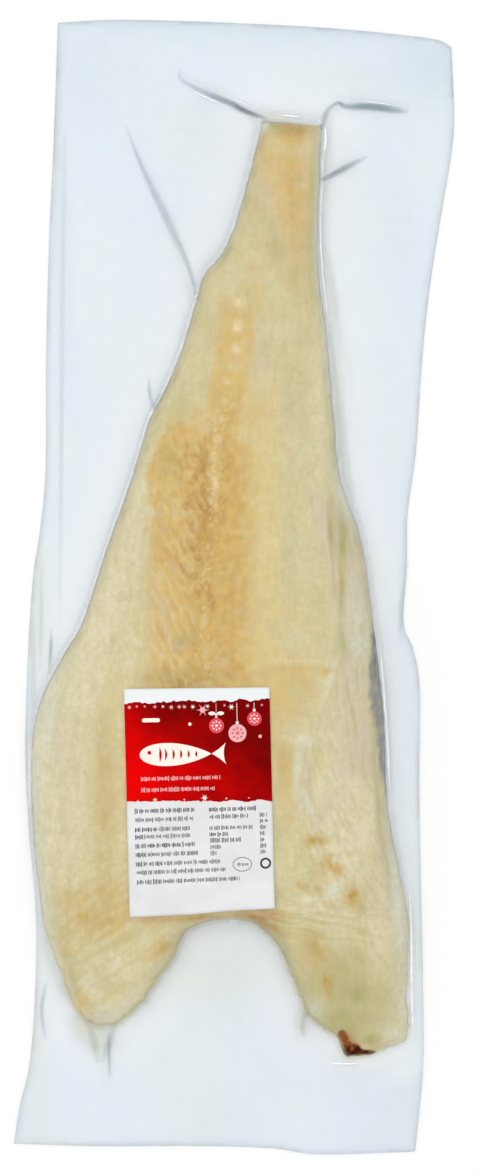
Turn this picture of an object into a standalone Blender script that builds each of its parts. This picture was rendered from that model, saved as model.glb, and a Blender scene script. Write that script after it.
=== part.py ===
"""Lutefisk in its vacuum bag: a split cod between two sealed sheets of clear film, with a paper label.

The pack lies flat, flesh side up and tail towards +Y. The origin is the middle of the pack's box, on the
surface that it rests on. Stations are (along Y, across X) in millimetres; everything else is in metres.
"""

import math

import bmesh
import bpy
import numpy as np
from mathutils import Matrix, Vector, geometry, noise

MM = 0.001

# ---- Bag: four sides between sharp corners, each a smooth curve through its stations ----
FILM_THICKNESS = 1.0 * MM
BAG_TOP = [(381, -119), (383, -84), (382.6, -43), (380, 18), (377, 72), (370.5, 132), (365, 146.7)]
BAG_RIGHT = [
    (365, 146.7), (321, 148.7), (295, 147.2), (258, 141), (204, 132.5), (153, 127), (93, 123), (49, 117.2),
    (18, 116.8), (-24, 114.6), (-42, 121), (-70, 125.4), (-144, 125.2), (-279, 127.8), (-326, 127.6),
    (-381.5, 122.4),
]
BAG_BOTTOM = [(-381.5, 122.4), (-383, 58), (-379, 24), (-377.5, -30), (-377.5, -97), (-376, -148.7)]
BAG_LEFT = [
    (-376, -148.7), (-350, -144.7), (-326, -138.8), (-293, -135.4), (-245, -133.6), (-212, -134.2),
    (-164, -138.4), (-110, -140.8), (-49, -139.4), (5, -136), (38, -131.2), (79, -127.4), (153, -127),
    (235, -125), (289, -122.4), (381, -119),
]

# ---- Fish: tail cut, right side, right lobe, neck notch, left lobe, left side ----
TAIL_CUT = [(315, 18.9), (311.5, 59.5)]
FISH_RIGHT = [
    (311.5, 59.5), (275, 58), (235, 56.8), (205, 57.8), (174, 62.2), (113, 67.6), (80, 70.5), (60, 76),
    (32, 85.9), (-22, 94), (-83, 100.7), (-144, 103.6), (-171, 107.5), (-198, 112.9), (-225, 117.8),
    (-269, 117.2), (-290, 118.6),
]
RIGHT_LOBE = [(-305, 116), (-312, 104), (-317.5, 82), (-315, 73), (-305, 67.5), (-297, 58), (-291, 49)]
NECK_NOTCH = [
    (-280, 44.3), (-252, 33.8), (-238, 26), (-227, 12), (-224.5, -4), (-227, -20), (-234, -33),
    (-250, -39.6), (-262, -48), (-282, -62.2),
]
LEFT_LOBE = [(-291, -72.5), (-297.5, -87), (-293, -101), (-283, -109.5)]
FISH_LEFT = [
    (-266, -116.3), (-246, -123), (-225, -129), (-200, -132.2), (-172, -135.2), (-140, -136.8),
    (-110, -136.8), (-86, -133.5), (-66, -126), (-45, -114.5), (-21, -101.4), (28, -85.2), (72, -69.6),
    (113, -57), (130, -48), (157, -36.5), (194, -25.2), (211, -20), (228, -6.1), (258, 4.7), (297, 14.9),
    (315, 18.9),
]

# ---- Flesh: how thick it is along the fish, and how it falls away to its sides ----
CROWN = [(315, 20), (250, 24), (194, 27), (140, 30), (30, 34), (-80, 35), (-200, 32), (-250, 27), (-315, 18)]
SIDE_SHARE_LEFT = [(315, 0.85), (120, 0.6), (0, 0.38), (-110, 0.34), (-230, 0.4), (-315, 0.5)]
SIDE_SHARE_RIGHT = [(315, 0.85), (120, 0.65), (40, 0.72), (-110, 0.7), (-230, 0.55), (-315, 0.5)]
LARGEST_REACH = 62 * MM
EDGE_ROUND_LEFT = [(315, 9), (0, 9), (-80, 12), (-215, 14), (-315, 20)]
EDGE_ROUND_RIGHT = [(315, 9), (90, 9), (40, 15), (-120, 18), (-190, 12), (-250, 12), (-315, 20)]
SEAM_HEIGHT = 4.0 * MM
SEAM_REACH = 9 * MM
BELLY_TUCK = 7 * MM

# ---- Backbone: a row of beads in the tail, then the furrow that the bones left ----
SPINE = [
    (315, 41), (250, 14), (194, 3.4), (160, 1.4), (126, -5.4), (93, -11.5), (59, -14.2), (25, -17.6),
    (-43, -19.6), (-68, -18.3), (-225, -8),
]
FURROW_DEPTH = [(200, 0), (150, 1.4), (100, 3.2), (30, 4.6), (-60, 4.6), (-80, 0), (-225, 0)]
FURROW_WIDTH = 7.5 * MM
BEADS = [place * MM for place in (190, 174, 158.5, 147, 136, 124, 112)]
BEAD_RADIUS, BEAD_HEIGHT = 3.6 * MM, 1.6 * MM

# ---- Rib marks left of the backbone: slanting ridges inside a soft-edged field ----
RIB_TOP, RIB_BOTTOM = 100 * MM, -66 * MM
RIB_FIELD_WIDTH, RIB_FADE = 42 * MM, 12 * MM
RIB_PITCH, RIB_HEIGHT, RIB_SLOPE = 21 * MM, 0.6 * MM, 1.7

# ---- Right side: the lip of the belly lining, which lies over the flesh from here to the edge ----
LINING_LIP = [(75, 58), (45, 66), (-46, 70), (-70, 61), (-91, 52), (-130, 46), (-180, 52), (-225, 66)]
LINING_THICKNESS, LINING_FADE = 1.2 * MM, 30 * MM
LIP_HEIGHT, LIP_WIDTH = 1.6 * MM, 5 * MM

# ---- Unevenness of the flesh: (length, height) of the swells, and where their noise is read ----
SWELLS = ((46 * MM, 1.6 * MM), (17 * MM, 0.7 * MM))
SWELL_SEED = 7.3

# ---- Creases in the film: (x, y, height) at both ends, in millimetres ----
CREASES = [
    ((18, 317, 3.2), (-36.5, 344, 0.8)),
    ((59, 316, 2.6), (71, 327, 2.6)),
    ((71, 327, 2.6), (114, 322.5, 0.6)),
    ((59, 275, 2.6), (88, 291, 0.6)),
    ((-26, 196, 3.2), (-42, 242, 2.2)),
    ((-42, 242, 2.2), (-73, 308, 0.8)),
    ((64, 205, 1.0), (78, 130, 2.2)),
    ((-86, -297, 3.0), (-85, -334, 0.6)),
]
CREASE_WIDTH = 2.6 * MM

# ---- Low waves in the bare film: height, then lengths across and along the pack ----
WAVE_HEIGHT, WAVE_START = 2.2 * MM, 30 * MM
WAVE_ACROSS, WAVE_ALONG, WAVE_SWAY = 21 * MM, 33 * MM, 47 * MM

# ---- Label ----
LABEL_WIDTH, LABEL_LENGTH, LABEL_THICKNESS = 97 * MM, 149 * MM, 0.5 * MM
LABEL_CENTRE = Vector((-23.0 * MM, -142.3 * MM))
LABEL_TURN = math.radians(1.4)
LABEL_GAP = 0.35 * MM
LABEL_CELLS = (12, 18)
LABEL_PRESS_FADE = 10 * MM
PRINT_TOP, PRINT_BOTTOM = 0.4, -0.005

# ---- Mesh spacings ----
BAG_STEP, FISH_STEP, CREASE_STEP = 10.4 * MM, 6.5 * MM, 6 * MM
MARGIN_STEP, FLESH_STEP, BACKBONE_STEP = 15 * MM, 7.6 * MM, 4.6 * MM
RING_DEPTHS = (-7 * MM, -2.5 * MM, 3 * MM, 7.5 * MM)
RING_TOLERANCE, CLOSEST, MERGE = 0.5 * MM, 1.5 * MM, 0.0001 * MM
SHARP_EDGE = math.radians(50)


def clear_scene():
    for obj in list(bpy.data.objects):
        bpy.data.objects.remove(obj, do_unlink=True)


def material(name, colour, roughness, metallic=0.0, alpha=1.0):
    made = bpy.data.materials.new(name)
    made.use_nodes = True
    shader = made.node_tree.nodes["Principled BSDF"]
    shader.inputs["Base Color"].default_value = (*colour, 1.0)
    shader.inputs["Roughness"].default_value = roughness
    shader.inputs["Metallic"].default_value = metallic
    shader.inputs["Alpha"].default_value = alpha
    made.diffuse_color = (*colour, alpha)
    return made


# ---------------------------------------------------------------- curves and profiles


def as_points(stations):
    """(along, across) stations in millimetres as points (x, y) in metres."""
    return [Vector((across * MM, along * MM)) for along, across in stations]


def smooth_path(points, step):
    """Points about one step apart on the Catmull-Rom curve through the given ones."""
    padded = [points[0] * 2 - points[1], *points, points[-1] * 2 - points[-2]]
    path = [points[0]]
    for before, start, end, after in zip(padded, padded[1:], padded[2:], padded[3:]):
        count = max(1, round((end - start).length / step))
        for i in range(1, count + 1):
            t = i / count
            path.append(
                start
                + (end - before) * t / 2
                + (2 * before - 5 * start + 4 * end - after) * t**2 / 2
                + (3 * start - before - 3 * end + after) * t**3 / 2
            )
    return path


def closed_outline(sides, step):
    """One closed loop of points from sides that end where the next one starts."""
    loop = []
    for side in sides:
        loop += smooth_path(as_points(side), step)[:-1]
    return np.array(loop)


def bag_outline(step):
    return closed_outline([BAG_TOP, BAG_RIGHT, BAG_BOTTOM, BAG_LEFT], step)


def fish_outline(step):
    body = FISH_RIGHT + RIGHT_LOBE + NECK_NOTCH + LEFT_LOBE + FISH_LEFT
    return closed_outline([TAIL_CUT, body], step)


def along(stations, y, unit=MM):
    """The value of (along, value) stations at y."""
    ordered = sorted(stations)
    return np.interp(y, [s[0] * MM for s in ordered], [s[1] * unit for s in ordered])


def smooth_step(share):
    share = np.clip(share, 0, 1)
    return share * share * (3 - 2 * share)


def bump(distance, width):
    """A bell of height 1 that falls off over width."""
    return np.exp(-((distance / width) ** 2))


def distance_to_line(points, start, end):
    """How far each point is from a straight line between two points."""
    run = end - start
    share = np.clip((points - start) @ run / (run @ run), 0, 1)
    return np.linalg.norm(points - start - share[:, None] * run, axis=1)


def depth_inside(points, loop):
    """Distance from a closed loop, positive inside it and negative outside."""
    nearest = np.full(len(points), np.inf)
    inside = np.zeros(len(points), bool)
    x, y = points.T
    for start, end in zip(loop, np.roll(loop, -1, axis=0)):
        nearest = np.minimum(nearest, distance_to_line(points, start, end))
        run_x, run_y = end - start
        if run_y:
            crosses = (start[1] > y) != (end[1] > y)
            inside ^= crosses & (x < start[0] + run_x * (y - start[1]) / run_y)
    return np.where(inside, nearest, -nearest)


def rolling(points, length, offset):
    """Smooth noise between about -1 and 1, whose hills are about length apart."""
    return np.array([noise.noise(Vector((x / length, y / length, offset))) for x, y in points])


# ---------------------------------------------------------------- heights


def loin_height(points):
    """The flesh's broad upper surface: thick loins that thin out to both sides."""
    x, y = points.T
    left, right = along(FISH_LEFT, y), along(FISH_RIGHT, y)
    reach = np.minimum((right - left) / 2, LARGEST_REACH)
    rise_left = 1 - (1 - np.clip((x - left) / reach, 0, 1)) ** 2
    rise_right = 1 - (1 - np.clip((right - x) / reach, 0, 1)) ** 2
    share_left, share_right = along(SIDE_SHARE_LEFT, y, 1), along(SIDE_SHARE_RIGHT, y, 1)
    fall = (share_left + (1 - share_left) * rise_left) * (share_right + (1 - share_right) * rise_right)
    return along(CROWN, y) * fall


def backbone(points):
    """Beads of the vertebrae in the tail, then a furrow beside the loins."""
    x, y = points.T
    spine = along(SPINE, y)
    height = -along(FURROW_DEPTH, y) * bump(x - spine, FURROW_WIDTH)
    for bead in BEADS:
        height += BEAD_HEIGHT * bump(np.hypot(x - along(SPINE, bead), y - bead), BEAD_RADIUS)
    return height


def rib_marks(points):
    """Slanting ridges on the left loin, from its outer side down towards the backbone."""
    x, y = points.T
    aside = along(SPINE, y) - x
    field = smooth_step(aside / RIB_FADE) * smooth_step((RIB_FIELD_WIDTH - aside) / RIB_FADE)
    field *= smooth_step((RIB_TOP - y) / RIB_FADE) * smooth_step((y - RIB_BOTTOM) / RIB_FADE)
    return RIB_HEIGHT * field * np.sin(2 * math.pi * (y - RIB_SLOPE * aside) / RIB_PITCH)


def belly_lining(points):
    """The thin lining over the right side, with a raised lip where it ends on the bare flesh."""
    x, y = points.T
    beyond = x - along(LINING_LIP, y)
    first, last = LINING_LIP[0][0] * MM, LINING_LIP[-1][0] * MM
    ends = smooth_step((first - y) / LINING_FADE) * smooth_step((y - last) / LINING_FADE)
    layer = LINING_THICKNESS * smooth_step(beyond / LIP_WIDTH + 0.5)
    return ends * (layer + LIP_HEIGHT * bump(beyond, LIP_WIDTH))


def under_label(points):
    """1 where the label presses the pack smooth, falling to 0 around it."""
    away = points - np.array(LABEL_CENTRE)
    cos, sin = math.cos(LABEL_TURN), math.sin(LABEL_TURN)
    across = np.abs(away @ np.array((cos, sin))) - LABEL_WIDTH / 2
    lengthways = np.abs(away @ np.array((-sin, cos))) - LABEL_LENGTH / 2
    return 1 - smooth_step(np.maximum(across, lengthways) / LABEL_PRESS_FADE)


def flesh_relief(points):
    """What stands out of the broad surface, except under the label."""
    swells = sum(height * rolling(points, length, SWELL_SEED) for length, height in SWELLS)
    relief = backbone(points) + rib_marks(points) + belly_lining(points) + swells
    return relief * (1 - under_label(points))


def margin_height(points, outside):
    """The middle of the two sealed sheets, which sink from seam height and then lie in low waves."""
    x, y = points.T
    waves = 0.5 + 0.5 * np.sin(x / WAVE_ACROSS + np.sin(y / WAVE_SWAY)) * np.cos(y / WAVE_ALONG)
    seam = SEAM_HEIGHT * np.exp(-outside / SEAM_REACH)
    return FILM_THICKNESS / 2 + seam + WAVE_HEIGHT * waves * smooth_step(outside / WAVE_START)


def crease_ridges(points):
    """Straight ridges in the film, each with its own height at either end."""
    height = np.zeros(len(points))
    for crease in CREASES:
        start, end = np.array(crease) * MM
        run = end[:2] - start[:2]
        share = np.clip((points - start[:2]) @ run / (run @ run), 0, 1)
        rise = start[2] + (end[2] - start[2]) * share
        away = distance_to_line(points, start[:2], end[:2])
        height = np.maximum(height, rise * bump(away, CREASE_WIDTH))
    return height


def pack_heights(points, depth):
    """(upper, lower) surface of the pack at points that lie at a depth inside the fish's outline."""
    outside = np.maximum(-depth, 0)
    margin = margin_height(points, outside) + crease_ridges(points) * (depth < 0)
    x, y = points.T
    rounding = np.where(x < along(SPINE, y), along(EDGE_ROUND_LEFT, y), along(EDGE_ROUND_RIGHT, y))
    rounded = np.sqrt(1 - (1 - np.clip(depth / rounding, 0, 1)) ** 2)
    flesh = loin_height(points) + flesh_relief(points)
    upper = margin + FILM_THICKNESS / 2 + np.maximum(flesh - margin, 0) * rounded
    tuck = 1 - smooth_step(np.maximum(depth, 0) / BELLY_TUCK)
    lower = np.maximum(margin - FILM_THICKNESS / 2, 0) * tuck
    return upper, lower


# ---------------------------------------------------------------- solids


def ring_points(loop, depth_wanted):
    """The loop moved inwards by a depth, without the points that end up nearer the loop than that."""
    forward = np.roll(loop, -1, axis=0) - np.roll(loop, 1, axis=0)
    normals = np.stack([forward[:, 1], -forward[:, 0]], axis=1)
    normals /= np.linalg.norm(normals, axis=1)[:, None]
    moved = loop + normals * depth_wanted
    return moved[np.abs(depth_inside(moved, loop) - depth_wanted) < RING_TOLERANCE]


def lattice(loop, step):
    """Points of a triangular lattice that covers a loop's box."""
    (left, bottom), (right, top) = loop.min(axis=0), loop.max(axis=0)
    rows = np.arange(bottom, top, step * math.sqrt(3) / 2)
    columns = np.arange(left, right, step)
    return np.array([(x + step / 2 * (i % 2), y) for i, y in enumerate(rows) for x in columns])


def crease_points():
    """Points on each crease's ridge and along both of its feet."""
    points = []
    for crease in CREASES:
        start, end = (Vector(place[:2]) * MM for place in crease)
        aside = (end - start).normalized().orthogonal() * CREASE_WIDTH * 1.5
        count = max(2, round((end - start).length / CREASE_STEP))
        for i in range(count + 1):
            ridge = start.lerp(end, i / count)
            points += [ridge, ridge + aside, ridge - aside]
    return np.array(points)


def by_backbone(points):
    """True in the strip of fine relief: the ribs, the furrow and the beads."""
    x, y = points.T
    aside = x - along(SPINE, y)
    across = (aside > -RIB_FIELD_WIDTH) & (aside < 2 * FURROW_WIDTH)
    return across & (y > RIB_BOTTOM) & (y < BEADS[0] + 3 * BEAD_RADIUS)


def spaced_out(points, taken, gap):
    """The points that are at least gap away from every taken one."""
    near = np.array([np.linalg.norm(taken - p, axis=1).min() < gap for p in points])
    return points[~near]


def pack_points(bag, fish):
    """Where the surface has vertices: both outlines, rings along the fish's edge, creases and lattices."""
    edges = np.concatenate([bag, fish])
    rings = np.concatenate([ring_points(fish, depth) for depth in RING_DEPTHS])
    rings = rings[depth_inside(rings, bag) > CLOSEST]
    lines = np.concatenate([edges, spaced_out(rings, edges, CLOSEST)])
    creases = crease_points()
    creases = creases[(depth_inside(creases, fish) < -CLOSEST) & (depth_inside(creases, bag) > CLOSEST)]
    lines = np.concatenate([lines, spaced_out(creases, lines, CLOSEST)])

    inner = RING_DEPTHS[-1] + FLESH_STEP / 2
    coarse, fine, sparse = (lattice(bag, step) for step in (FLESH_STEP, BACKBONE_STEP, MARGIN_STEP))
    coarse = coarse[(depth_inside(coarse, fish) > inner) & ~by_backbone(coarse)]
    fine = fine[(depth_inside(fine, fish) > inner) & by_backbone(fine)]
    sparse = sparse[(depth_inside(sparse, fish) < RING_DEPTHS[0]) & (depth_inside(sparse, bag) > CLOSEST)]
    return np.concatenate([lines, coarse, fine, spaced_out(sparse, lines, MARGIN_STEP / 2)])


def loop_edges(first, count):
    return [(first + i, first + (i + 1) % count) for i in range(count)]


def flat_sheet(bag, fish):
    """The bag's outline filled with triangles, with the fish's outline among their edges."""
    points = pack_points(bag, fish)
    edges = loop_edges(0, len(bag)) + loop_edges(len(bag), len(fish))
    flat, _, faces, *_ = geometry.delaunay_2d_cdt([Vector(p) for p in points], edges, [], 0, MERGE)
    flat = np.array(flat)
    centres = np.array([flat[list(face)].mean(axis=0) for face in faces])

    sheet = bmesh.new()
    verts = [sheet.verts.new((x, y, 0)) for x, y in flat]
    for face, depth in zip(faces, depth_inside(centres, bag)):
        if depth > 0:
            sheet.faces.new([verts[i] for i in face])
    bmesh.ops.delete(sheet, geom=[v for v in sheet.verts if not v.link_faces], context="VERTS")
    return sheet


def make_pack(collection, film, flesh):
    """The sealed bag with the fish in it: a lifted sheet, its underside and the thin edge between them."""
    fish = fish_outline(FISH_STEP)
    sheet = flat_sheet(bag_outline(BAG_STEP), fish)
    grown = bmesh.ops.extrude_face_region(sheet, geom=sheet.faces[:])["geom"]
    raised = {element for element in grown if isinstance(element, bmesh.types.BMVert)}
    places = np.array([vert.co[:2] for vert in sheet.verts])
    for vert, upper, lower in zip(sheet.verts, *pack_heights(places, depth_inside(places, fish))):
        vert.co.z = upper if vert in raised else lower
    bmesh.ops.recalc_face_normals(sheet, faces=sheet.faces[:])

    mesh = new_mesh(collection, "bag", sheet, [film, flesh])
    middles = np.array([face.center[:2] for face in mesh.polygons])
    for face, depth in zip(mesh.polygons, depth_inside(middles, fish)):
        face.material_index = int(depth > 0)
    mesh.shade_smooth()
    mesh.set_sharp_from_angle(angle=SHARP_EDGE)


def make_label(collection, paper, ink):
    """A sheet of paper on the film over the loins, bare above and below its printed field."""
    sheet = bmesh.new()
    bmesh.ops.create_grid(sheet, x_segments=LABEL_CELLS[0], y_segments=LABEL_CELLS[1], size=0.5)
    for face in sheet.faces:
        face.material_index = int(PRINT_BOTTOM < face.calc_center_median().y < PRINT_TOP)
    size = Vector((LABEL_WIDTH, LABEL_LENGTH, 1))
    bmesh.ops.scale(sheet, vec=size, verts=sheet.verts)
    bmesh.ops.rotate(sheet, matrix=Matrix.Rotation(LABEL_TURN, 3, "Z"), verts=sheet.verts)
    bmesh.ops.translate(sheet, vec=LABEL_CENTRE.to_3d(), verts=sheet.verts)
    heights = loin_height(np.array([vert.co[:2] for vert in sheet.verts])) + FILM_THICKNESS / 2
    for vert, height in zip(sheet.verts, heights):
        vert.co.z = height + LABEL_GAP

    new_mesh(collection, "label", sheet, [paper, ink])
    thick = collection.objects["label"].modifiers.new("paper", "SOLIDIFY")
    thick.thickness = LABEL_THICKNESS
    thick.offset = 1


def new_mesh(collection, name, shape, materials):
    """A named object in the collection with a bmesh's shape; returns its mesh."""
    mesh = bpy.data.meshes.new(name)
    shape.to_mesh(mesh)
    shape.free()
    for made in materials:
        mesh.materials.append(made)
    collection.objects.link(bpy.data.objects.new(name, mesh))
    return mesh


def main():
    clear_scene()
    pack = bpy.data.collections.new("lutefisk_pack")
    bpy.context.scene.collection.children.link(pack)
    make_pack(
        pack,
        film=material("clear film", (0.72, 0.80, 0.87), 0.15, alpha=0.45),
        flesh=material("flesh under film", (0.70, 0.55, 0.28), 0.3),
    )
    make_label(
        pack,
        paper=material("label paper", (0.86, 0.86, 0.88), 0.45),
        ink=material("label red", (0.55, 0.01, 0.015), 0.4),
    )


main()
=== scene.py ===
import math

import bmesh
import bpy
import numpy as np
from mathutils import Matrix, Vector, geometry, noise


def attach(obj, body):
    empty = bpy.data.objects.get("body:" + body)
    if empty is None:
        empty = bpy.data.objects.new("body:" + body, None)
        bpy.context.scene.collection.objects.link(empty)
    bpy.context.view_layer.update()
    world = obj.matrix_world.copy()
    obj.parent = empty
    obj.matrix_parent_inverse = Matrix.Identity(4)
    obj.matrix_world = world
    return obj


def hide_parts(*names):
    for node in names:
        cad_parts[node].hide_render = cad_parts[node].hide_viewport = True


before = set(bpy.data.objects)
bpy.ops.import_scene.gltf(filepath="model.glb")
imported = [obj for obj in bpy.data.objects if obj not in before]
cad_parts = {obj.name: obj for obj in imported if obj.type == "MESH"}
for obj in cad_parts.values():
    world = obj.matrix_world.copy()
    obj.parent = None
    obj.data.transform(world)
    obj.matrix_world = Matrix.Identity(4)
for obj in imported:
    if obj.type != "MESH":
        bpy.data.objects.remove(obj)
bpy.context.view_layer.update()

MM = 0.001

# Stations are (y, x) along an outline, or (y, value) where a value changes along the pack.
# Lengths are in millimetres until new_piece, thicken and Shading make them metres; only the floor, the light
# and the camera are given in metres.

# ---- Bag ----
BAG_TOP = [(381, -119), (383, -84), (382.6, -43), (380, 18), (377, 72), (370.5, 132), (365, 146.7)]
BAG_RIGHT = [
    (365, 146.7), (321, 148.7), (295, 147.2), (258, 141), (204, 132.5), (153, 127), (93, 123), (49, 117.2),
    (18, 116.8), (-24, 114.6), (-42, 121), (-70, 125.4), (-144, 125.2), (-279, 127.8), (-326, 127.6),
    (-381.5, 122.4),
]
BAG_BOTTOM = [(-381.5, 122.4), (-383, 58), (-379, 24), (-377.5, -30), (-377.5, -97), (-376, -148.7)]
BAG_LEFT = [
    (-376, -148.7), (-350, -144.7), (-326, -138.8), (-293, -135.4), (-245, -133.6), (-212, -134.2),
    (-164, -138.4), (-110, -140.8), (-49, -139.4), (5, -136), (38, -131.2), (79, -127.4), (153, -127),
    (235, -125), (289, -122.4), (381, -119),
]

# ---- Fish outline ----
TAIL_CUT = [(315, 18.9), (311.5, 59.5)]
FISH_RIGHT = [
    (311.5, 59.5), (275, 58), (235, 56.8), (205, 57.8), (174, 62.2), (113, 67.6), (80, 70.5), (60, 76),
    (32, 85.9), (-22, 94), (-83, 100.7), (-144, 103.6), (-171, 107.5), (-198, 112.9), (-225, 117.8),
    (-269, 117.2), (-290, 118.6),
]
RIGHT_LOBE = [(-305, 116), (-312, 104), (-317.5, 82), (-315, 73), (-305, 67.5), (-297, 58), (-291, 49)]
NECK_NOTCH = [
    (-280, 44.3), (-252, 33.8), (-238, 26), (-227, 12), (-224.5, -4), (-227, -20), (-234, -33),
    (-250, -39.6), (-262, -48), (-282, -62.2),
]
LEFT_LOBE = [(-291, -72.5), (-297.5, -87), (-293, -101), (-283, -109.5)]
FISH_LEFT = [
    (-266, -116.3), (-246, -123), (-225, -129), (-200, -132.2), (-172, -135.2), (-140, -136.8),
    (-110, -136.8), (-86, -133.5), (-66, -126), (-45, -114.5), (-21, -101.4), (28, -85.2), (72, -69.6),
    (113, -57), (130, -48), (157, -36.5), (194, -25.2), (211, -20), (228, -6.1), (258, 4.7), (297, 14.9),
    (315, 18.9),
]

# ---- Flesh thickness ----
CROWN = [(315, 20), (250, 24), (194, 27), (140, 30), (30, 34), (-80, 35), (-200, 32), (-250, 27), (-315, 18)]
SIDE_SHARE_LEFT = [(315, 0.85), (120, 0.6), (0, 0.38), (-110, 0.34), (-230, 0.4), (-315, 0.5)]
SIDE_SHARE_RIGHT = [(315, 0.85), (120, 0.65), (40, 0.72), (-110, 0.7), (-230, 0.55), (-315, 0.5)]
LARGEST_REACH = 62
EDGE_ROUND_LEFT = [(315, 9), (0, 9), (-80, 12), (-215, 14), (-315, 20)]
EDGE_ROUND_RIGHT = [(315, 9), (90, 9), (40, 15), (-120, 18), (-190, 12), (-250, 12), (-315, 20)]
SEAM_HEIGHT, SEAM_REACH = 4.0, 9
BELLY_TUCK = 7
EDGE_FULLNESS = 0.65

# ---- Backbone, ribs, belly lining and swells ----
SPINE = [
    (315, 41), (250, 14), (194, 3.4), (160, 1.4), (126, -5.4), (93, -11.5), (59, -14.2), (25, -17.6),
    (-43, -19.6), (-68, -18.3), (-225, -8),
]
FURROW_DEPTH = [(200, 0), (150, 1.4), (100, 3.2), (30, 4.6), (-60, 4.6), (-80, 0), (-225, 0)]
FURROW_WIDTH = 7.5
BEADS = (190, 174, 158.5, 147, 136, 124, 112)
BEAD_RADIUS, BEAD_HEIGHT = 3.6, 1.6
RIB_TOP, RIB_BOTTOM = 100, -66
RIB_SPACING = 6
LINING_LIP = [(75, 58), (45, 66), (-46, 70), (-70, 61), (-91, 52), (-130, 46), (-180, 52), (-225, 66)]
LINING_THICKNESS, LINING_FADE = 1.2, 30
LIP_HEIGHT, LIP_WIDTH = 1.6, 5
SWELLS = ((46, 1.6), (17, 0.7))
SWELL_SEED = 7.3

# ---- Film ----
# The larger creases: (x, y, height) at both ends
CREASES = [
    ((18, 317, 3.2), (-36.5, 344, 0.8)),
    ((59, 316, 2.6), (71, 327, 2.6)),
    ((71, 327, 2.6), (114, 322.5, 0.6)),
    ((59, 275, 2.6), (88, 291, 0.6)),
    ((-26, 196, 3.2), (-42, 242, 2.2)),
    ((-42, 242, 2.2), (-73, 308, 0.8)),
    ((64, 205, 1.0), (78, 130, 2.2)),
    ((-86, -297, 3.0), (-85, -334, 0.6)),
]
CREASE_WIDTH = 2.6
WAVE_HEIGHT, WAVE_START = 2.2, 30
WAVE_ACROSS, WAVE_ALONG, WAVE_SWAY = 21, 33, 47
FILM_THICKNESS = 1.0
LEAST_RISE, FLOOR_GAP = 0.05, 0.02
FILM_CLEARANCE = 0.45
SKIN_OVER_FILM, FLESH_OVER_SKIN, SKIN_THICKNESS = 0.4, 0.3, 0.2
FILM_BRIDGE = 0.3
LOWER_SHEET_HAZE = 0.18
FOLD_STEP = 1.4
TINTS = ("white", "green", "milky")
FOLD_LIFT, FOLD_STEEPNESS = 0.05, 0.5

# ---- Label ----
LABEL_WIDTH, LABEL_LENGTH = 97, 149
LABEL_CENTRE = np.array((-23.0, -142.3))
LABEL_TURN = math.radians(1.4)
LABEL_GAP = 0.35
LABEL_PRESS_FADE = 10
LABEL_SLACK, RIPPLE_HEIGHT, CURL_HEIGHT = 0.3, 0.25, 2.2
PAPER_THICKNESS, INK_LIFT = 0.2, 0.08

# ---- Mesh spacings ----
OUTLINE_STEP = 1.5
FLESH_STEP, UNDERSIDE_STEP = 1.25, 3.6
FILM_STEP = 2.1
TRIANGLE_HEIGHT = 0.87
WELD_REACH = 1e-6


# ---- Curves, profiles, distances ----


def smooth_path(points, step):
    """Points about one step apart on the Catmull-Rom curve through the given ones."""
    padded = [points[0] * 2 - points[1], *points, points[-1] * 2 - points[-2]]
    path = [points[0]]
    for before, start, end, after in zip(padded, padded[1:], padded[2:], padded[3:]):
        count = max(1, round((end - start).length / step))
        for i in range(1, count + 1):
            t = i / count
            path.append(
                start
                + (end - before) * t / 2
                + (2 * before - 5 * start + 4 * end - after) * t**2 / 2
                + (3 * start - before - 3 * end + after) * t**3 / 2
            )
    return path


def closed_outline(*sides):
    loop = []
    for side in sides:
        loop += smooth_path([Vector((x, y)) for y, x in side], OUTLINE_STEP)[:-1]
    return np.array(loop)


def bag_outline():
    return closed_outline(BAG_TOP, BAG_RIGHT, BAG_BOTTOM, BAG_LEFT)


def fish_outline():
    return closed_outline(TAIL_CUT, FISH_RIGHT + RIGHT_LOBE + NECK_NOTCH + LEFT_LOBE + FISH_LEFT)


def ragged(loop):
    """The loop drawn in a little, unevenly: least along the back, most round the cut lobes."""
    forward = np.roll(loop, -1, axis=0) - np.roll(loop, 1, axis=0)
    inwards = np.stack([forward[:, 1], -forward[:, 0]], axis=1)
    inwards /= np.linalg.norm(inwards, axis=1)[:, None]
    lobes = smooth_step((-225 - loop[:, 1]) / 40)
    bites = 0.5 + rolling(loop, 6, 31.7) + 0.5 * rolling(loop, 2.4, 12.1)
    return loop + inwards * (np.clip(bites, 0, 1.2) * (0.5 + 1.5 * lobes))[:, None]


def along(stations, y):
    return np.interp(y, *zip(*sorted(stations)))


def smooth_step(share):
    share = np.clip(share, 0, 1)
    return share * share * (3 - 2 * share)


def window(value, low, high, fade):
    """1 between low and high, falling to 0 over fade outside them."""
    return smooth_step((value - low) / fade + 1) * smooth_step((high - value) / fade + 1)


def bump(distance, width):
    return np.exp(-((distance / width) ** 2))


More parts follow.
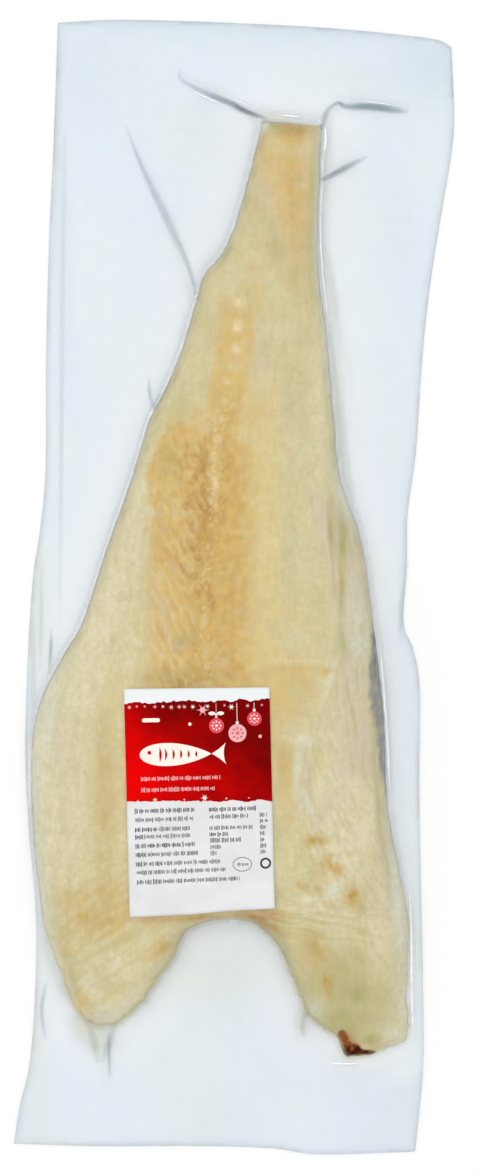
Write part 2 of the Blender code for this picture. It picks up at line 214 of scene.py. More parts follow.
def nearness(points, loop):
    """How deep points lie inside a closed loop, the nearest places on it, and how far along it these are."""
    nearest = np.full(len(points), np.inf)
    place, travel = np.zeros((len(points), 2)), np.zeros(len(points))
    inside = np.zeros(len(points), bool)
    x, y = points.T
    travelled = 0.0
    for start, end in zip(loop, np.roll(loop, -1, axis=0)):
        run = end - start
        length = math.hypot(*run)
        share = np.clip((points - start) @ run / length**2, 0, 1)
        away_x, away_y = x - start[0] - share * run[0], y - start[1] - share * run[1]
        away = away_x * away_x + away_y * away_y
        closer = np.flatnonzero(away < nearest)
        nearest[closer] = away[closer]
        place[closer] = start + share[closer, None] * run
        travel[closer] = travelled + share[closer] * length
        travelled += length
        if run[1]:
            crosses = (start[1] > y) != (end[1] > y)
            inside ^= crosses & (x < start[0] + run[0] * (y - start[1]) / run[1])
    return np.where(inside, 1, -1) * np.sqrt(nearest), place, travel


def depth_inside(points, loop):
    return nearness(points, loop)[0]


def turned(places, angle):
    """The places as seen from axes that are turned anticlockwise by an angle."""
    cos, sin = math.cos(angle), math.sin(angle)
    return places @ np.array(((cos, -sin), (sin, cos)))


def rolling(points, length, seed, length_y=None):
    """Smooth noise, mostly between -0.5 and 0.5; its hills are about length wide and length_y long."""
    scaled = np.asarray(points) / (length, length_y or length)
    return np.array([noise.noise((x, y, seed)) for x, y in scaled.tolist()])


def streaks(points, degrees, spacing, length, seed):
    """Noise drawn out along a direction, from -1 to 1."""
    angle = math.radians(degrees)
    x, y = points.T
    over = y * math.cos(angle) - x * math.sin(angle)
    forth = x * math.cos(angle) + y * math.sin(angle)
    places = np.column_stack([over, forth])
    places[:, 0] += 0.7 * spacing * rolling(places, spacing * 6, seed + 5)
    return np.clip(2.4 * rolling(places, spacing, seed, length), -1, 1)


def oval(points, x, y, half_width, half_length, degrees=0):
    """A soft-edged oval patch."""
    away = turned(points - (x, y), math.radians(degrees))
    return np.exp(-((away[:, 0] / half_width) ** 2) - (away[:, 1] / half_length) ** 2)


def most(points, patches):
    """The strongest of several ovals at each point."""
    total = np.zeros(len(points))
    for x, y, half_width, half_length, strength, *turn in patches:
        total = np.maximum(total, strength * oval(points, x, y, half_width, half_length, *turn))
    return total


# ---- Heights ----


def loin_height(points):
    x, y = points.T
    left, right = along(FISH_LEFT, y), along(FISH_RIGHT, y)
    reach = np.minimum((right - left) / 2, LARGEST_REACH)
    rise_left = 1 - (1 - np.clip((x - left) / reach, 0, 1)) ** 2
    rise_right = 1 - (1 - np.clip((right - x) / reach, 0, 1)) ** 2
    share_left, share_right = along(SIDE_SHARE_LEFT, y), along(SIDE_SHARE_RIGHT, y)
    fall = (share_left + (1 - share_left) * rise_left) * (share_right + (1 - share_right) * rise_right)
    return along(CROWN, y) * fall


def backbone(points):
    x, y = points.T
    height = -along(FURROW_DEPTH, y) * bump(x - along(SPINE, y), FURROW_WIDTH)
    for bead in BEADS:
        height += BEAD_HEIGHT * bump(np.hypot(x - along(SPINE, bead), y - bead), BEAD_RADIUS)
    return height


def belly_lining(points):
    x, y = points.T
    beyond = x - along(LINING_LIP, y)
    first, last = LINING_LIP[0][0], LINING_LIP[-1][0]
    ends = smooth_step((first - y) / LINING_FADE) * smooth_step((y - last) / LINING_FADE)
    layer = LINING_THICKNESS * smooth_step(beyond / LIP_WIDTH + 0.5)
    return ends * (layer + LIP_HEIGHT * bump(beyond, LIP_WIDTH))


def label_place(points):
    """Points as (across, along) the label from its middle."""
    return turned(points - LABEL_CENTRE, LABEL_TURN)


def under_label(points):
    across, lengthways = np.abs(label_place(points)).T
    beyond = np.maximum(across - LABEL_WIDTH / 2, lengthways - LABEL_LENGTH / 2)
    return 1 - smooth_step(beyond / LABEL_PRESS_FADE)


def margin_height(points, outside):
    x, y = points.T
    waves = 0.5 + 0.5 * np.sin(x / WAVE_ACROSS + np.sin(y / WAVE_SWAY)) * np.cos(y / WAVE_ALONG)
    seam = SEAM_HEIGHT * np.exp(-outside / SEAM_REACH)
    return FILM_THICKNESS / 2 + seam + WAVE_HEIGHT * waves * smooth_step(outside / WAVE_START)


def crease_ridges(points):
    height = np.zeros(len(points))
    for crease in CREASES:
        start, end = np.array(crease)
        run = end[:2] - start[:2]
        share = np.clip((points - start[:2]) @ run / (run @ run), 0, 1)
        away = np.linalg.norm(points - start[:2] - share[:, None] * run, axis=1)
        rise = start[2] + (end[2] - start[2]) * share
        height = np.maximum(height, rise * bump(away, CREASE_WIDTH))
    return height


def pack_top(points, depth):
    """The middle of the sealed margin and the height that the film keeps to, by depth inside the fish."""
    x, y = points.T
    rounding = np.where(x < along(SPINE, y), along(EDGE_ROUND_LEFT, y), along(EDGE_ROUND_RIGHT, y))
    rounded = (1 - (1 - np.clip(depth / rounding, 0, 1)) ** 2) ** EDGE_FULLNESS
    swells = sum(height * rolling(points, length, SWELL_SEED) for length, height in SWELLS)
    relief = backbone(points) + belly_lining(points) + swells
    flesh = loin_height(points) + relief * (1 - under_label(points))
    margin = margin_height(points, np.maximum(-depth, 0))
    return margin, margin + FILM_THICKNESS / 2 + np.maximum(flesh - margin, 0) * rounded


def film_underside(margin, depth):
    tuck = 1 - smooth_step(np.maximum(depth, 0) / BELLY_TUCK)
    return np.maximum(margin - FILM_THICKNESS, LEAST_RISE) * tuck + FLOOR_GAP


# ---- Meshes ----


def grid_cells(columns, rows):
    """The (column, row) of each cell of a grid, row by row, and the numbers of its four corners."""
    cells = np.array([(i, j) for j in range(rows) for i in range(columns)])
    corner = cells[:, 1] * (columns + 1) + cells[:, 0]
    return cells, np.stack([corner, corner + 1, corner + columns + 2, corner + columns + 1], axis=1)


def snapped_grid(loop, step):
    """Square cells that fill a loop, with their outermost corners moved onto it: (points, quads, rim)."""
    low, high = loop.min(axis=0) - step, loop.max(axis=0) + step
    columns, rows = np.ceil((high - low) / step).astype(int)
    cells, quads = grid_cells(columns, rows)
    kept = depth_inside(low + (cells + 0.5) * step, loop) > 0
    used, quads, uses = np.unique(quads[kept], return_inverse=True, return_counts=True)
    points = low + np.stack([used % (columns + 1), used // (columns + 1)], axis=1) * step
    rim = uses < 4
    _, points[rim], _ = nearness(points[rim], loop)
    return points, quads.reshape(-1, 4), rim


def rim_edges(quads):
    """Edges that only one quad uses."""
    edges = np.stack([quads, np.roll(quads, -1, axis=1)], axis=2).reshape(-1, 2)
    _, first, uses = np.unique(np.sort(edges, axis=1), axis=0, return_index=True, return_counts=True)
    return edges[first[uses == 1]]


def filling(border, edges, loops, step):
    """Triangles that fill closed borders: (points, faces); the border's points come first, in their order."""
    low, high = border.min(axis=0), border.max(axis=0)
    rows = enumerate(np.arange(low[1], high[1], step * TRIANGLE_HEIGHT))
    columns = np.arange(low[0], high[0], step)
    inner = np.array([(x + step / 2 * (row % 2), y) for row, y in rows for x in columns]).reshape(-1, 2)
    if len(inner):
        depth = np.max([depth_inside(inner, loop) for loop in loops], axis=0)
        inner = inner[depth > step / 2]
    given = [Vector(place) for place in [*border.tolist(), *inner.tolist()]]
    flat, _, faces, origin, *_ = geometry.delaunay_2d_cdt(given, edges.tolist(), [], 1, WELD_REACH)
    names = [ids[0] if ids else len(given) + i for i, ids in enumerate(origin)]
    points = np.zeros((max(max(names) + 1, len(given)), 2))
    points[: len(given)] = [tuple(place) for place in given]
    points[names] = [tuple(place) for place in flat]
    return points, [[names[i] for i in face] for face in faces]


def new_piece(name, verts, faces, material, attributes=None):
    """A mesh object that rides on the pack, with named numbers at its vertices for the materials."""
    mesh = bpy.data.meshes.new(name)
    mesh.from_pydata((np.array(verts) * MM).tolist(), [], [tuple(face) for face in faces])
    for key, values in (attributes or {}).items():
        layer = mesh.attributes.new(key, "FLOAT", "POINT")
        layer.data.foreach_set("value", np.asarray(values, dtype=np.float32))
    shape = bmesh.new()
    shape.from_mesh(mesh)
    loose = [vert for vert in shape.verts if not vert.link_faces]
    bmesh.ops.delete(shape, geom=loose, context="VERTS")
    shape.to_mesh(mesh)
    shape.free()
    mesh.materials.append(material)
    mesh.shade_smooth()
    piece = bpy.data.objects.new(name, mesh)
    bpy.context.scene.collection.objects.link(piece)
    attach(piece, "root")
    return piece


def raised(points, height):
    return np.column_stack([points, np.broadcast_to(height, len(points))])


def thicken(piece, thickness):
    shell = piece.modifiers.new("thickness", "SOLIDIFY")
    shell.thickness = thickness * MM
    shell.offset = -1


# ---- Materials ----

# The darkest pigment, the veil of light on wet flesh, and the size of the skin's scales
DARKEST, FLESH_SHEEN, SCALE_SIZE = 0.002, 0.028, 1.6


def srgb(*levels):
    """A colour as a screen shows it, 0 to 255, in the linear numbers that shaders use."""
    shares = [level / 255 for level in levels]
    return tuple(share / 12.92 if share <= 0.04 else ((share + 0.055) / 1.055) ** 2.4 for share in shares)


def lit(red, green, blue, sheen=0.0):
    """The pigment that shows as a screen colour under a veil of reflected light."""
    return tuple(max(share - sheen, DARKEST) for share in srgb(red, green, blue))


class Shading:
    """A material with short calls for the nodes that the finishes here are made of."""

    def __init__(self, name):
        self.material = bpy.data.materials.new(name)
        self.material.use_nodes = True
        self.tree = self.material.node_tree
        self.tree.nodes.clear()
        self.output = self.tree.nodes.new("ShaderNodeOutputMaterial")
        self.place = self.node("ShaderNodeTexCoord").outputs["Object"]

    def node(self, kind, inputs=None, **settings):
        made = self.tree.nodes.new(kind)
        for key, value in settings.items():
            setattr(made, key, value)
        for key, value in (inputs or {}).items():
            self.feed(made.inputs[key], value)
        return made

    def feed(self, socket, value):
        if isinstance(value, bpy.types.NodeSocket):
            self.tree.links.new(value, socket)
        elif socket.type == "RGBA":
            socket.default_value = (*value, 1)
        else:
            socket.default_value = value

    def number(self, name):
        return self.node("ShaderNodeAttribute", attribute_name=name).outputs["Fac"]

    def math(self, operation, first, second, clamp=False):
        made = self.node("ShaderNodeMath", {0: first, 1: second}, operation=operation, use_clamp=clamp)
        return made.outputs[0]

    def noise(self, size, detail=3.0, roughness=0.55, stretch=None, turn=0.0):
        """Noise whose features are about size across, stretched along Y and turned about Z."""
        where = self.place
        if stretch:
            mapping = {"Vector": where, "Rotation": (0, 0, turn), "Scale": (1, 1 / stretch, 1)}
            where = self.node("ShaderNodeMapping", mapping).outputs[0]
        settings = {"Vector": where, "Scale": 1 / (size * MM), "Detail": detail, "Roughness": roughness}
        return self.node("ShaderNodeTexNoise", settings).outputs["Fac"]

    def spread(self, value, low, high, to_low=0.0, to_high=1.0):
        limits = {"Value": value, "From Min": low, "From Max": high, "To Min": to_low, "To Max": to_high}
        return self.node("ShaderNodeMapRange", limits).outputs[0]

    def mix(self, share, first, second, blend="MIX"):
        made = self.node("ShaderNodeMix", data_type="RGBA", blend_type=blend)
        self.feed(made.inputs[0], share)
        self.feed(made.inputs[6], first)
        self.feed(made.inputs[7], second)
        return made.outputs[2]

    def shaded(self, colour, value):
        """The colour multiplied by a number."""
        grey = self.node("ShaderNodeCombineColor", {0: value, 1: value, 2: value}).outputs[0]
        return self.mix(1.0, colour, grey, blend="MULTIPLY")

    def bump(self, height, distance, strength):
        inputs = {"Height": height, "Distance": distance * MM, "Strength": strength}
        return self.node("ShaderNodeBump", inputs).outputs[0]

    def principled(self, **inputs):
        inputs = {key.replace("_", " "): value for key, value in inputs.items()}
        return self.node("ShaderNodeBsdfPrincipled", inputs).outputs[0]

    def finish(self, shader):
        self.tree.links.new(shader, self.output.inputs["Surface"])
        return self.material


# Each colour is laid over the ones before it, by the number of the same name at the vertices.
FLESH_COLOURS = {
    "straw": (226, 202, 134),
    "gold": (218, 184, 106),
    "amber": (192, 146, 72),
    "pale": (229, 220, 186),
    "rib_and_highlight": (230, 208, 158),
    "rose": (213, 198, 171),
    "olive": (178, 172, 114),
    "ochre": (194, 158, 72),
    "veil": (220, 221, 200),
    "bone_and_rim_light": (236, 220, 176),
    "grey": (148, 147, 143),
    "slate": (84, 88, 92),
    "brown": (146, 80, 28),
    "umber": (70, 14, 0),
}


def flesh_material(name, wetness):
    """Soaked cod: cream flesh, golden by the backbone, with pale lining, grey skin and a brown scab.

    Wetness is 1 where film clings to moist flesh and 0 where the flesh is dry."""
    s = Shading(name)
    broad = s.noise(24, detail=4)
    fleck = s.noise(4.5, detail=4, roughness=0.65)
    fibre = s.noise(2.6, detail=3, roughness=0.6, stretch=5.0, turn=math.radians(-12))

    sheen = FLESH_SHEEN * wetness
    colour = s.mix(s.spread(broad, 0.35, 0.65), lit(209, 200, 152, sheen), lit(218, 208, 166, sheen))
    blush = s.spread(s.noise(17, detail=2), 0.48, 0.68, 0.0, 0.4)
    colour = s.mix(blush, colour, lit(219, 199, 158, sheen))
    for mark, shade in FLESH_COLOURS.items():
        share = s.math("MULTIPLY", s.number(mark), s.spread(fleck, 0.3, 0.65, 0.75, 1.15), clamp=True)
        colour = s.mix(share, colour, lit(*shade, sheen))
    grain = s.math("MULTIPLY", s.spread(fleck, 0.3, 0.7, 0.93, 1.06), s.spread(fibre, 0.3, 0.7, 0.96, 1.04))
    colour = s.shaded(colour, grain)

    relief = s.math("ADD", s.math("MULTIPLY", fleck, 0.6), s.math("MULTIPLY", fibre, 0.5))
    shader = s.principled(
        Base_Color=colour,
        Roughness=s.spread(fleck, 0.3, 0.7, 0.38, 0.52),
        Normal=s.bump(relief, 0.5, 0.5),
        Subsurface_Weight=0.5,
        Subsurface_Radius=(0.006, 0.005, 0.004),
        Specular_IOR_Level=0.15 * wetness,
        Coat_Weight=0.12 * wetness,
        Coat_Roughness=0.2,
    )
    return s.finish(shader)


def skin_material():
    """Silvery grey cod skin on the underside, mottled, with a fine scale grain."""
    s = Shading("grey_skin")
    mottle = s.noise(14, detail=4)
    cells = s.node("ShaderNodeTexVoronoi", {"Vector": s.place, "Scale": 1 / (SCALE_SIZE * MM)})
    grain = cells.outputs["Distance"]
    colour = s.mix(s.spread(mottle, 0.35, 0.65), lit(138, 138, 134), lit(186, 183, 172))
    shader = s.principled(
        Base_Color=colour,
        Roughness=s.spread(grain, 0.0, 0.6, 0.3, 0.45),
        Normal=s.bump(grain, 0.25, 0.4),
        Coat_Weight=0.3,
        Coat_Roughness=0.2,
    )
    return s.finish(shader)


def film_material():
    """Clear bluish film: its haze and its tints are numbers at the vertices. The white tint, with more metal,
    paints highlights; the dark tint paints shade in the folds and darkens the sealed edge.
    """
    s = Shading("clear_film")
    cloud = s.noise(60, detail=2)
    fine = s.noise(9, detail=3)
    tint = s.mix(s.spread(cloud, 0.42, 0.58), srgb(172, 196, 222), srgb(174, 202, 214))
    tint = s.mix(s.number("green"), tint, srgb(176, 196, 184))
    tint = s.mix(s.number("milky"), tint, srgb(228, 223, 190))
    tint = s.mix(s.number("dark"), tint, srgb(78, 94, 104))
    tint = s.mix(s.number("white"), tint, srgb(250, 252, 253))
    haze = s.math("MULTIPLY", s.number("haze"), s.spread(fine, 0.3, 0.7, 0.94, 1.06))
    facing = s.node("ShaderNodeLayerWeight", {"Blend": 0.25}).outputs["Facing"]
    grazing = s.math("MULTIPLY", s.math("POWER", facing, 4.0), 0.08)
    cover = s.math("ADD", haze, grazing, clamp=True)
    shader = s.principled(
        Base_Color=tint,
        Metallic=s.spread(s.number("white"), 0.0, 1.0, 0.1, 0.35),
        Roughness=0.16,
        Normal=s.bump(fine, 0.4, 0.2),
    )
    clear = s.node("ShaderNodeBsdfTransparent", {"Color": (1, 1, 1)}).outputs[0]
    return s.finish(s.node("ShaderNodeMixShader", {0: cover, 1: clear, 2: shader}).outputs[0])


def ink_material(name, colour, worn=0.04):
    """Printing ink, satin and very slightly uneven."""
    s = Shading(name)
    grain = s.noise(1.2, detail=2)
    cloud = s.noise(9, detail=2)
    colour = s.mix(s.spread(grain, 0.35, 0.75, 0.0, worn), colour, (0.9, 0.88, 0.88))
    colour = s.shaded(colour, s.spread(cloud, 0.3, 0.7, 0.94, 1.06))
    return s.finish(ink_surface(s, colour, grain))


def ink_surface(s, colour, grain):
    return s.principled(
        Base_Color=colour, Roughness=0.6, Specular_IOR_Level=0.0, Normal=s.bump(grain, 0.05, 0.2)
    )


def red_material():
    """The red field, brightest at its lower left and wine-dark at the top and right."""
    s = Shading("ink_red")
    x, y, _ = s.node("ShaderNodeSeparateXYZ", {0: s.place}).outputs
    middle_x, middle_y = LABEL_CENTRE
    across = s.spread(x, (middle_x - 42) * MM, (middle_x + 44) * MM)
    up = s.spread(y, (middle_y + 20) * MM, (middle_y + 64) * MM)
    dark = s.math("ADD", s.math("MULTIPLY", s.math("POWER", across, 0.8), 0.85), s.math("MULTIPLY", up, 0.65))
    cloud = s.noise(16, detail=4)
    dark = s.math("ADD", dark, s.spread(cloud, 0.3, 0.7, -0.16, 0.16), clamp=True)
    grain = s.noise(1.2, detail=2)
    return s.finish(ink_surface(s, s.mix(dark, lit(232, 0, 4, 0.004), lit(122, 0, 2, 0.004)), grain))


def paper_material():
    s = Shading("label_paper")
    fibre = s.noise(0.9, detail=4)
    cloud = s.noise(22, detail=2)
    _, y, _ = s.node("ShaderNodeSeparateXYZ", {0: s.place}).outputs
    upper = s.spread(y, (LABEL_CENTRE[1] + 10) * MM, (LABEL_CENTRE[1] + 40) * MM)
    colour = s.mix(s.spread(cloud, 0.4, 0.6), lit(226, 226, 227, 0.04), lit(232, 232, 233, 0.04))
    colour = s.mix(upper, colour, lit(236, 240, 240, 0.04))
    shader = s.principled(
        Base_Color=colour,
        Roughness=s.spread(fibre, 0.3, 0.7, 0.45, 0.55),
        Normal=s.bump(fibre, 0.06, 0.3),
    )
    return s.finish(shader)


# ---- Fish ----

# Patches: (x, y, half-width, half-length in mm, strength, and a turn in degrees where there is one)
GOLDEN = [
    (38, 301, 12, 8, 0.8), (24, 302, 7, 8, 0.55), (32, 262, 16, 44, 0.55, 10), (36, 262, 15, 50, 0.7, 4),
    (24, 278, 9, 28, 0.6, 14), (28, 232, 12, 18, 0.35, 10), (-76, -120, 13, 100, 0.75),
    (-85, -130, 10, 86, 0.7), (-84, -203, 12, 10, 0.55), (46, -16, 13, 26, 0.25), (14, 196, 10, 20, 0.4, 8),
    (-89, -182, 10, 14, 0.6, 20), (-100, -218, 14, 20, 0.6, 20), (-84, -222, 16, 12, 0.7),
    (-60, -214, 24, 9, 0.75, 4), (-117, -240, 8, 15, 0.7), (-49, -241, 5.5, 15, 0.9, -55),
    (-101, -282, 7, 14, 0.8, 25), (-112, -262, 5, 14, 0.6, 15), (-70, -180, 10, 30, 0.6),
    (52, -168, 7, 6, 0.6), (56, -119, 5, 11, 0.35), (66, -187, 8, 8, 0.8), (79, -207, 7, 9, 0.8, 20),
    (61, -268, 6, 10, 0.4, 10), (51, -242, 10, 18, 0.25, 20), (67, -262, 8, 9, 0.3), (14, 118, 8, 16, 0.4),
    (-5, 118, 10, 18, 0.95), (88, -248, 14, 16, 0.3), (61, -57, 5, 5, 1), (40, -62, 20, 20, 0.6),
    (30, -72, 26, 30, 0.5), (10, -64, 24, 5, 0.6), (34, -126, 8, 26, 0.6),
]
# Some amber patches are painted shadow of the label: partly the band just above its top edge, and the line
# along and under its lower edge
AMBER = [
    (40, 306, 9, 5, 1), (36, 311, 18, 4, 0.7, -5), (41, 252, 8, 44, 0.2, 4), (52, -238, 6, 10, 0.25, 20),
    (-24, -60, 38, 6, 0.35), (19, -224, 14, 5, 1, -28), (27, -219, 11, 4, 0.9, -10),
    (-20, -221, 44, 2.6, 0.8, 1.4), (-30, -236, 5, 5, 0.3), (-100, -222, 4, 8, 0.2, 20),
    (79, -207, 2, 2.4, 0.6), (61, -170.5, 3, 1.6, 0.5), (60, -185, 2.6, 3, 0.35),
    (71, -188, 2.4, 5, 0.3, 10), (33, -114, 4, 18, 0.3), (-34, -64, 9, 4, 0.9), (-16, -8, 4, 8, 0.75, 20),
    (-22, 45, 9, 26, 0.4, 5), (62, -55, 2.4, 2.4, 0.6), (42, -54, 16, 1.2, 0.3),
]
PALE = [
    (-96, -267, 7, 10, 0.9, 35), (-79, -252, 13, 12, 0.6), (-52, -252, 8, 12, 0.5, -35),
    (-86, -289, 14, 12, 0.5), (59, -90, 5, 22, 0.6, -8), (64, -52, 4, 3, 1), (44, -49.5, 18, 1.4, 0.4),
    (66, -204, 5, 4, 0.9, 10), (50, -208, 8, 3, 0.8), (66, -172, 6, 7, 0.7), (62, -146, 12, 34, 0.85),
    (80, -140, 20, 70, 0.8, 4), (108, -160, 7, 70, 0.6, 4), (44, -101, 12, 3, 0.7), (72, -96, 9, 30, 0.6),
    (64, -218, 34, 4, 0.55, -4), (64, -300, 5, 4, 0.4), (97, -242, 10, 30, 0.7), (58, 125, 9, 80, 0.4),
    (-86, -20, 15, 56, 0.95, -18), (-107, -72, 12, 34, 0.7, -12), (-92, -62, 17, 34, 0.95, -6),
    (-108, -194, 12, 9, 0.6, -14), (-40, -232, 5, 9, 0.8, -32), (81, -268, 7, 7, 0.4), (52, 0, 9, 30, 0.3),
    (-126, -140, 10, 74, 0.9), (-67, -277, 10, 14, 0.9, -30), (84, 6, 9, 40, 0.6, 12),
]
# The olive band just above the label's top edge is partly painted shadow of the label
OLIVE = [
    (24, 311, 10, 6, 0.8, -5), (44, 309, 10, 5, 0.45, -5), (-86, -130, 9, 60, 0.25), (-40, -60, 34, 6, 0.3),
    (74, -278, 30, 28, 0.7), (54, -240, 10, 10, 0.3, 20), (91, -303, 9, 6, 0.8), (78, -297, 18, 8, 0.7),
    (72, -40, 8, 12, 0.35), (36, -252, 5, 24, 0.4, 18), (72, 36, 3.5, 15, 0.9, 6), (67, -262, 7, 9, 0.6),
    (-128, -225, 6, 36, 0.1, 5), (26, 232, 6, 30, 0.3, 24), (53, 250, 4, 60, 0.35, -2),
    (-113, -262, 8, 20, 0.4, 15), (84, -215, 5, 4, 0.4), (97, -150, 1.6, 30, 0.5, 4),
    (104, -190, 2, 16, 0.5, 16), (-42, 84, 7, 10, 0.35), (-38, 122, 8, 10, 0.2), (-34, -34, 7, 7, 0.35),
    (72, -6, 3, 12, 0.7), (65, 38, 2.5, 22, 0.7, 6),
]
OCHRE = [
    (55, -168.5, 6, 3.6, 0.75), (64, -187, 7, 7, 0.35), (79, -206, 4.5, 5.5, 0.9, 20),
    (50, -200, 9, 2.8, 0.55, -10), (84, -217, 4, 4, 0.2), (-86, -140, 9, 80, 0.3), (-5, 120, 8, 13, 0.3),
    (57, -244, 7, 12, 0.4, 20), (62, -265, 3.5, 11, 0.6, 8), (-108, -207, 5, 6, 0.2, 20),
    (-47, -240, 4, 9, 0.4, -50), (-104, -286, 4, 10, 0.25, 25), (64, -55, 3.2, 3.2, 0.9),
    (72, 2, 2.5, 11, 0.5),
]
ROSE = [
    (19, 150, 7, 30, 0.4), (34, 121, 10, 14, 0.3), (54, 232, 5, 24, 0.3), (20, 262, 8, 44, 0.4, 15),
    (-47, -16, 4, 22, 0.4, 12), (76, -90, 12, 36, 0.6), (48, -122, 4, 26, 0.6, -4),
    (60, -150, 6, 16, 0.5, -24), (106, -200, 6, 40, 0.9, 10), (79, -200, 9, 3, 0.5, -40),
    (-118, -100, 6, 30, 0.4, 8),
]
VEIL = [
    (-124, -90, 8, 40, 0.5, -6), (19.5, 310, 4.5, 5, 0.9), (75, 60, 6, 20, 1, 14), (82, -26, 9, 34, 0.6, 8),
    (-131, -228, 7, 42, 0.9, 4), (-122, -272, 7, 18, 0.8, 20), (110, -302, 9, 12, 0.7, 30),
    (113, -285, 6, 20, 0.6), (54, -284, 8, 12, 0.5, -20), (66, -202, 6, 4, 0.8, 10),
    (42.5, -120, 2.4, 16, 0.7, -4), (49, -144, 2.4, 11, 0.7, 31), (-84, -293, 28, 10, 0.8),
    (48, -104, 5, 4, 0.5), (64, -60, 3, 9, 0.6, -14), (110, -208, 5, 60, 0.8, 4),
    (34, -262, 4, 24, 0.5, 18),
]
# The scab, a thick comma: (x, y, radius) along it
SCAB = [
    (73.2, -299.5, 2.3), (73.2, -306, 5.0), (75.5, -312.5, 4.6), (78.5, -310.5, 5.0), (83.5, -312.5, 3.4),
    (89, -313.5, 2.4), (94, -313.7, 1.0),
]
# The strip of bare skin on the right flank: (y, width)
SKIN_STRIP = [
    (-16, 0), (-24, 2), (-42, 4.5), (-53, 8), (-76, 10), (-103, 7.5), (-123, 5), (-138, 2.5), (-146, 0),
]
# The left edge of the golden flank: (y, x)
GOLD_FROM = [
    (130, -28), (112, -39), (96, -48), (78, -54), (58, -54), (31, -51), (-8, -43), (-42, -42), (-70, -46),
]


